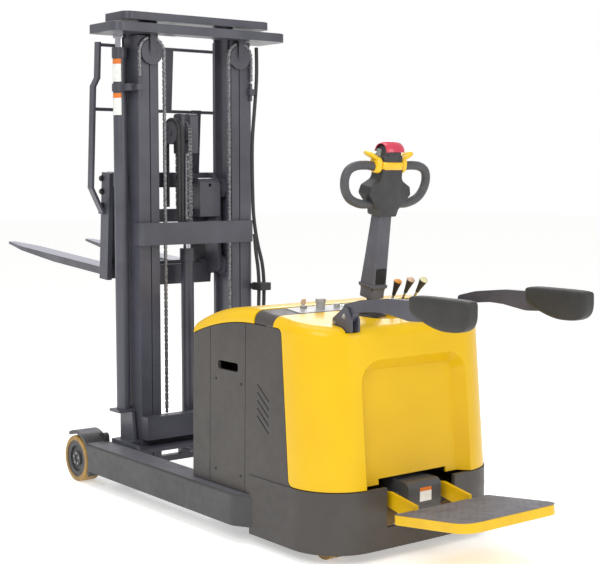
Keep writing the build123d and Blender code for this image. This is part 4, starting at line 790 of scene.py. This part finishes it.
matLook = {
    "rise": 6.8, "x0": -148.0, "x1": -513.0, "halfY": 236.0, "top": -36.2, "thick": 1.7, "corners": (8, 68, 68, 8),
    "well": (-162.0, -500.0, 223.0, -43.6), "wellCorners": (6, 56, 56, 6),
    "pitch": 18.0, "long": 11.5, "wide": 3.6, "tall": 1.6, "topShare": 0.55, "sunk": 0.2, "corner": 58.0, "clear": 10.0,
}
rise = math.radians(matLook["rise"])
matAxes = np.array([(math.cos(rise), 0, -math.sin(rise)), (0, 1, 0), (math.sin(rise), 0, math.cos(rise))])
hinge = np.array(joints["platform_fold"]["pos_m"])


def treadMat():
    # a flat rounded sheet and its backing, then lozenges: an eight-cornered ring of half sizes long and wide, and the
    # same ring at 0.55 size above it, on a square grid and turned 45 degrees left or right by turns
    x0, x1, halfY = matLook["x0"], matLook["x1"], matLook["halfY"]
    plan = roundedPolygon([(x0, -halfY), (x1, -halfY), (x1, halfY), (x0, halfY)], matLook["corners"], 8) * mm
    base = slab(plan, np.array((-matLook["thick"], -0.6, 0)) * mm, np.array((0, 0, 0.8)) * mm, matAxes,
                hinge + matLook["top"] * mm * matAxes[2])
    wellX0, wellX1, wellY, wellZ = matLook["well"]
    sunk = roundedPolygon([(wellX0, -wellY), (wellX1, -wellY), (wellX1, wellY), (wellX0, wellY)],
                          matLook["wellCorners"], 8) * mm
    backing = slab(sunk, np.array((wellZ, matLook["top"] - 1)) * mm, np.array((0, 0)), matAxes, hinge)
    ring = np.linspace(0, 2 * np.pi, 8, endpoint=False)
    shape = np.stack([matLook["long"] * np.cos(ring), matLook["wide"] * np.sin(ring)], -1)
    xs = np.arange(x1 + 12, x0 - 8, matLook["pitch"])
    ys = np.arange(-halfY + 10, halfY - 8, matLook["pitch"])
    column, row = np.meshgrid(np.arange(len(xs)), np.arange(len(ys)), indexing="ij")
    centre = np.stack([xs[column.ravel()], ys[row.ravel()]], -1)
    odd = (column.ravel() + row.ravel()) % 2
    corner = matLook["corner"]
    out = np.hypot(np.minimum(centre[:, 0] - (x1 + corner), 0),
                   np.maximum(np.abs(centre[:, 1]) - (halfY - corner), 0))
    keep = out < corner - matLook["clear"]
    centre, odd = centre[keep], odd[keep]
    turn = np.where(odd, np.pi / 4, -np.pi / 4)
    spin = np.stack([np.cos(turn), -np.sin(turn), np.sin(turn), np.cos(turn)], -1).reshape(-1, 2, 2)
    flat = np.einsum("nij,kj->nki", spin, shape)
    low = np.concatenate([centre[:, None] + flat, np.zeros((len(centre), 8, 1))], -1)
    high = np.concatenate([centre[:, None] + flat * matLook["topShare"],
                           np.full((len(centre), 8, 1), matLook["tall"])], -1)
    points, faces = prisms(np.stack([low, high], 1) * mm)
    lift = (0, 0, matLook["top"] * mm - matLook["sunk"] * mm)
    return joined(base, backing, (hinge + (points + lift) @ matAxes, faces))


makePiece("platform_tread", treadMat(), "platform", "treadRubber", smooth=30,
          stands=("platform_mat",))
print("tread ready")

# ---- blank stickers: orange band over white

stickerLook = {"cylinder": {"x": -175.0, "y": 337.0, "radius": 31.0, "half": 70.0, "centre": 90.0},
               "mastHeights": [(1808, 1908), (1662, 1758)], "band": 0.22, "film": 0.4, "proud": 0.2,
               "box": {"y": (-33, 25), "z": (196, 234, 248), "proud": 0.1}}


def wrapSticker(z0, z1):
    # film on a cylinder: angle t from centre - half to centre + half, radius r to r + film
    look = stickerLook["cylinder"]
    t = np.radians(np.linspace(look["centre"] - look["half"], look["centre"] + look["half"], 24))
    outer = np.stack([np.cos(t), np.sin(t)], -1)
    rings = []
    for z in (z0, z1):
        outside = outer * (look["radius"] + stickerLook["film"] + stickerLook["proud"])
        inside = outer[::-1] * (look["radius"] + stickerLook["proud"])
        ring = np.concatenate([outside, inside]) * mm
        rings.append(np.concatenate([ring, np.full((len(ring), 1), z * mm)], 1) + spot(look["x"], look["y"], 0))
    return loft(np.array(rings))


def flatSticker(x, y0, y1, z0, z1):  # film on a face that looks back
    return slab(np.array([(y0, z0), (y1, z0), (y1, z1), (y0, z1)]) * mm, np.array((0, stickerLook["film"])) * mm,
                np.array((0, 0)), ((0, 1, 0), (0, 0, 1), (-1, 0, 0)), spot(x, 0, 0))


whites, oranges = [], []
for z0, z1 in stickerLook["mastHeights"]:
    split = z1 - (z1 - z0) * stickerLook["band"]
    whites.append(wrapSticker(z0, split))
    oranges.append(wrapSticker(split, z1))
makePiece("mast_stickers_white", joined(*whites), "outer_mast", "labelWhite", smooth=60)
makePiece("mast_stickers_orange", joined(*oranges), "outer_mast", "labelOrange", smooth=60)
boxRear = (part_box("step_box")[0].x - axleX) / mm
boxFilm = stickerLook["box"]
(y0, y1), (z0, z1, z2) = boxFilm["y"], boxFilm["z"]
filmX = boxRear - boxFilm["proud"]
makePiece("box_sticker_white", flatSticker(filmX, y0, y1, z0, z1), "chassis", "labelWhite")
makePiece("box_sticker_orange", flatSticker(filmX, y0, y1, z1, z2), "chassis", "labelOrange")
# plate below the step box
apronLook = {"halfY": 82, "halfZ": 52, "corner": 4, "x": -1790, "z": 156}
apron = slab(roundedOutline(apronLook["halfY"] * mm, apronLook["halfZ"] * mm, apronLook["corner"] * mm),
             np.array((0, 8, 9)) * mm, np.array((0, 0, 1)) * mm, ((0, 1, 0), (0, 0, 1), (-1, 0, 0)),
             spot(apronLook["x"], 0, apronLook["z"]))
makePiece("box_apron", apron, "chassis", "boxPlastic")
print("stickers ready")

# ---- fasteners and small fittings: bolts are (flats, height), turned fittings are (radius, height) pairs

fastenerLook = {
    "frameX": 10, "frameZ": (1258, 1322, 1382), "frameBolt": (22, 11),
    "pinBolt": (15, 7), "baseBolt": (12, 6), "baseBoltAt": (56, -28), "cheek": 21,
    "pinEnd": [(13, 0), (13, 5), (10, 6)],
    "screw": [(5.5, 0), (5.5, 1.4), (3.6, 2.4)], "panelLean": 0.011,
    "screwAt": ((-1078, 607), (-1248, 605), (-1078, 250), (-1248, 250)),
}
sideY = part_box("fork_frame")[1].y / mm
frameBolts = joined(*[hexBolt(spot(fastenerLook["frameX"], sideY, z), (0, 1, 0), *fastenerLook["frameBolt"])
                      for z in fastenerLook["frameZ"]])
makePiece("fork_frame_bolts", joined(frameBolts, mirrored(frameBolts)), "fork_frame", "blackOxide", smooth=25)
guardX, guardY, guardZ = (np.array(joints["left_guard_fold"]["pos_m"]) - (axleX, 0, 0)) / mm
baseX, baseZ = fastenerLook["baseBoltAt"]
cheekY = guardY + fastenerLook["cheek"]
clevis = joined(hexBolt(spot(guardX, cheekY, guardZ), (0, 1, 0), *fastenerLook["pinBolt"]),
                hexBolt(spot(guardX + baseX, cheekY, guardZ + baseZ), (0, 1, 0), *fastenerLook["baseBolt"]),
                turnedShape(np.array(fastenerLook["pinEnd"]) * mm,
                            spot(guardX, guardY - fastenerLook["cheek"], guardZ), (0, -1, 0), 24))
makePiece("guard_bolts", joined(clevis, mirrored(clevis)), "chassis", "zincPlate", smooth=25)
panelLow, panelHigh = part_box("side_panels")


def panelY(z):  # the panels lean in as they rise
    return panelHigh.y / mm - fastenerLook["panelLean"] * (z - panelLow.z / mm)


screws = joined(*[turnedShape(np.array(fastenerLook["screw"]) * mm, spot(x, panelY(z), z), (0, 1, 0), 20)
                  for x, z in fastenerLook["screwAt"]])
makePiece("door_screws", joined(screws, mirrored(screws)), "chassis", "blackOxide", smooth=40)
# console: key switch with a moulded bow, and a small dark meter window lying on the pale strip
deckLook = {"fall": 0.1156, "crestX": -1311.0, "crestZ": 899.0, "meter": (-1392, 20), "meterHalf": (20, 34)}
fall = math.atan(deckLook["fall"])
deckAxes = np.array([(math.cos(fall), 0, math.sin(fall)), (0, 1, 0), (-math.sin(fall), 0, math.cos(fall))])


def onDeck(x, y, rise=0.0):  # the deck falls evenly from its crest to the rear
    return spot(x, y, deckLook["crestZ"] + deckLook["fall"] * (x - deckLook["crestX"]) + rise)


keyLook = {"x": -1362.0, "y": 230.0, "barrel": [(13, 0), (13, 8), (10, 11)], "bow": (4.0, 11.0, 12.0), "bowRise": 24}
barrel = turnedShape(np.array(keyLook["barrel"]) * mm, onDeck(keyLook["x"], keyLook["y"]), deckAxes[2], 28)
bow = softBox(onDeck(keyLook["x"], keyLook["y"], keyLook["bowRise"]), np.array(keyLook["bow"]) * mm, 0.5, deckAxes)
halfX, halfY = np.array(deckLook["meterHalf"]) * mm
meter = slab(roundedOutline(halfX, halfY, 4 * mm), np.array((0, 2.4, 3)) * mm, np.array((0, 0, 0.8)) * mm, deckAxes,
             onDeck(*deckLook["meter"], -0.5))
makePiece("key_barrel", barrel, "chassis", "zincPlate", smooth=40)
makePiece("key_bow", bow, "chassis", "beigeKnob", smooth=50)
makePiece("meter_window", meter, "chassis", "displayGlass")
# load wheels: five bolts round each hub face
hubLook = {"bolts": 5, "circle": 24.0, "flats": 8.0, "tall": 2.9, "turned": 0.3}
for side, sign in (("left", 1), ("right", -1)):
    hubLow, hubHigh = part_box(f"{side}_load_hub")
    centre = np.array(((hubLow.x + hubHigh.x) / 2, hubHigh.y if sign > 0 else hubLow.y, (hubLow.z + hubHigh.z) / 2))
    turns = np.arange(hubLook["bolts"]) * 2 * np.pi / hubLook["bolts"] + hubLook["turned"]
    heads = [hexBolt(centre + np.array((np.cos(t), 0, np.sin(t))) * hubLook["circle"] * mm, (0, sign, 0),
                     hubLook["flats"], hubLook["tall"]) for t in turns]
    makePiece(f"{side}_hub_bolts", joined(*heads), f"{side}_load_wheel", "zincPlate", smooth=25)
print("fasteners ready")
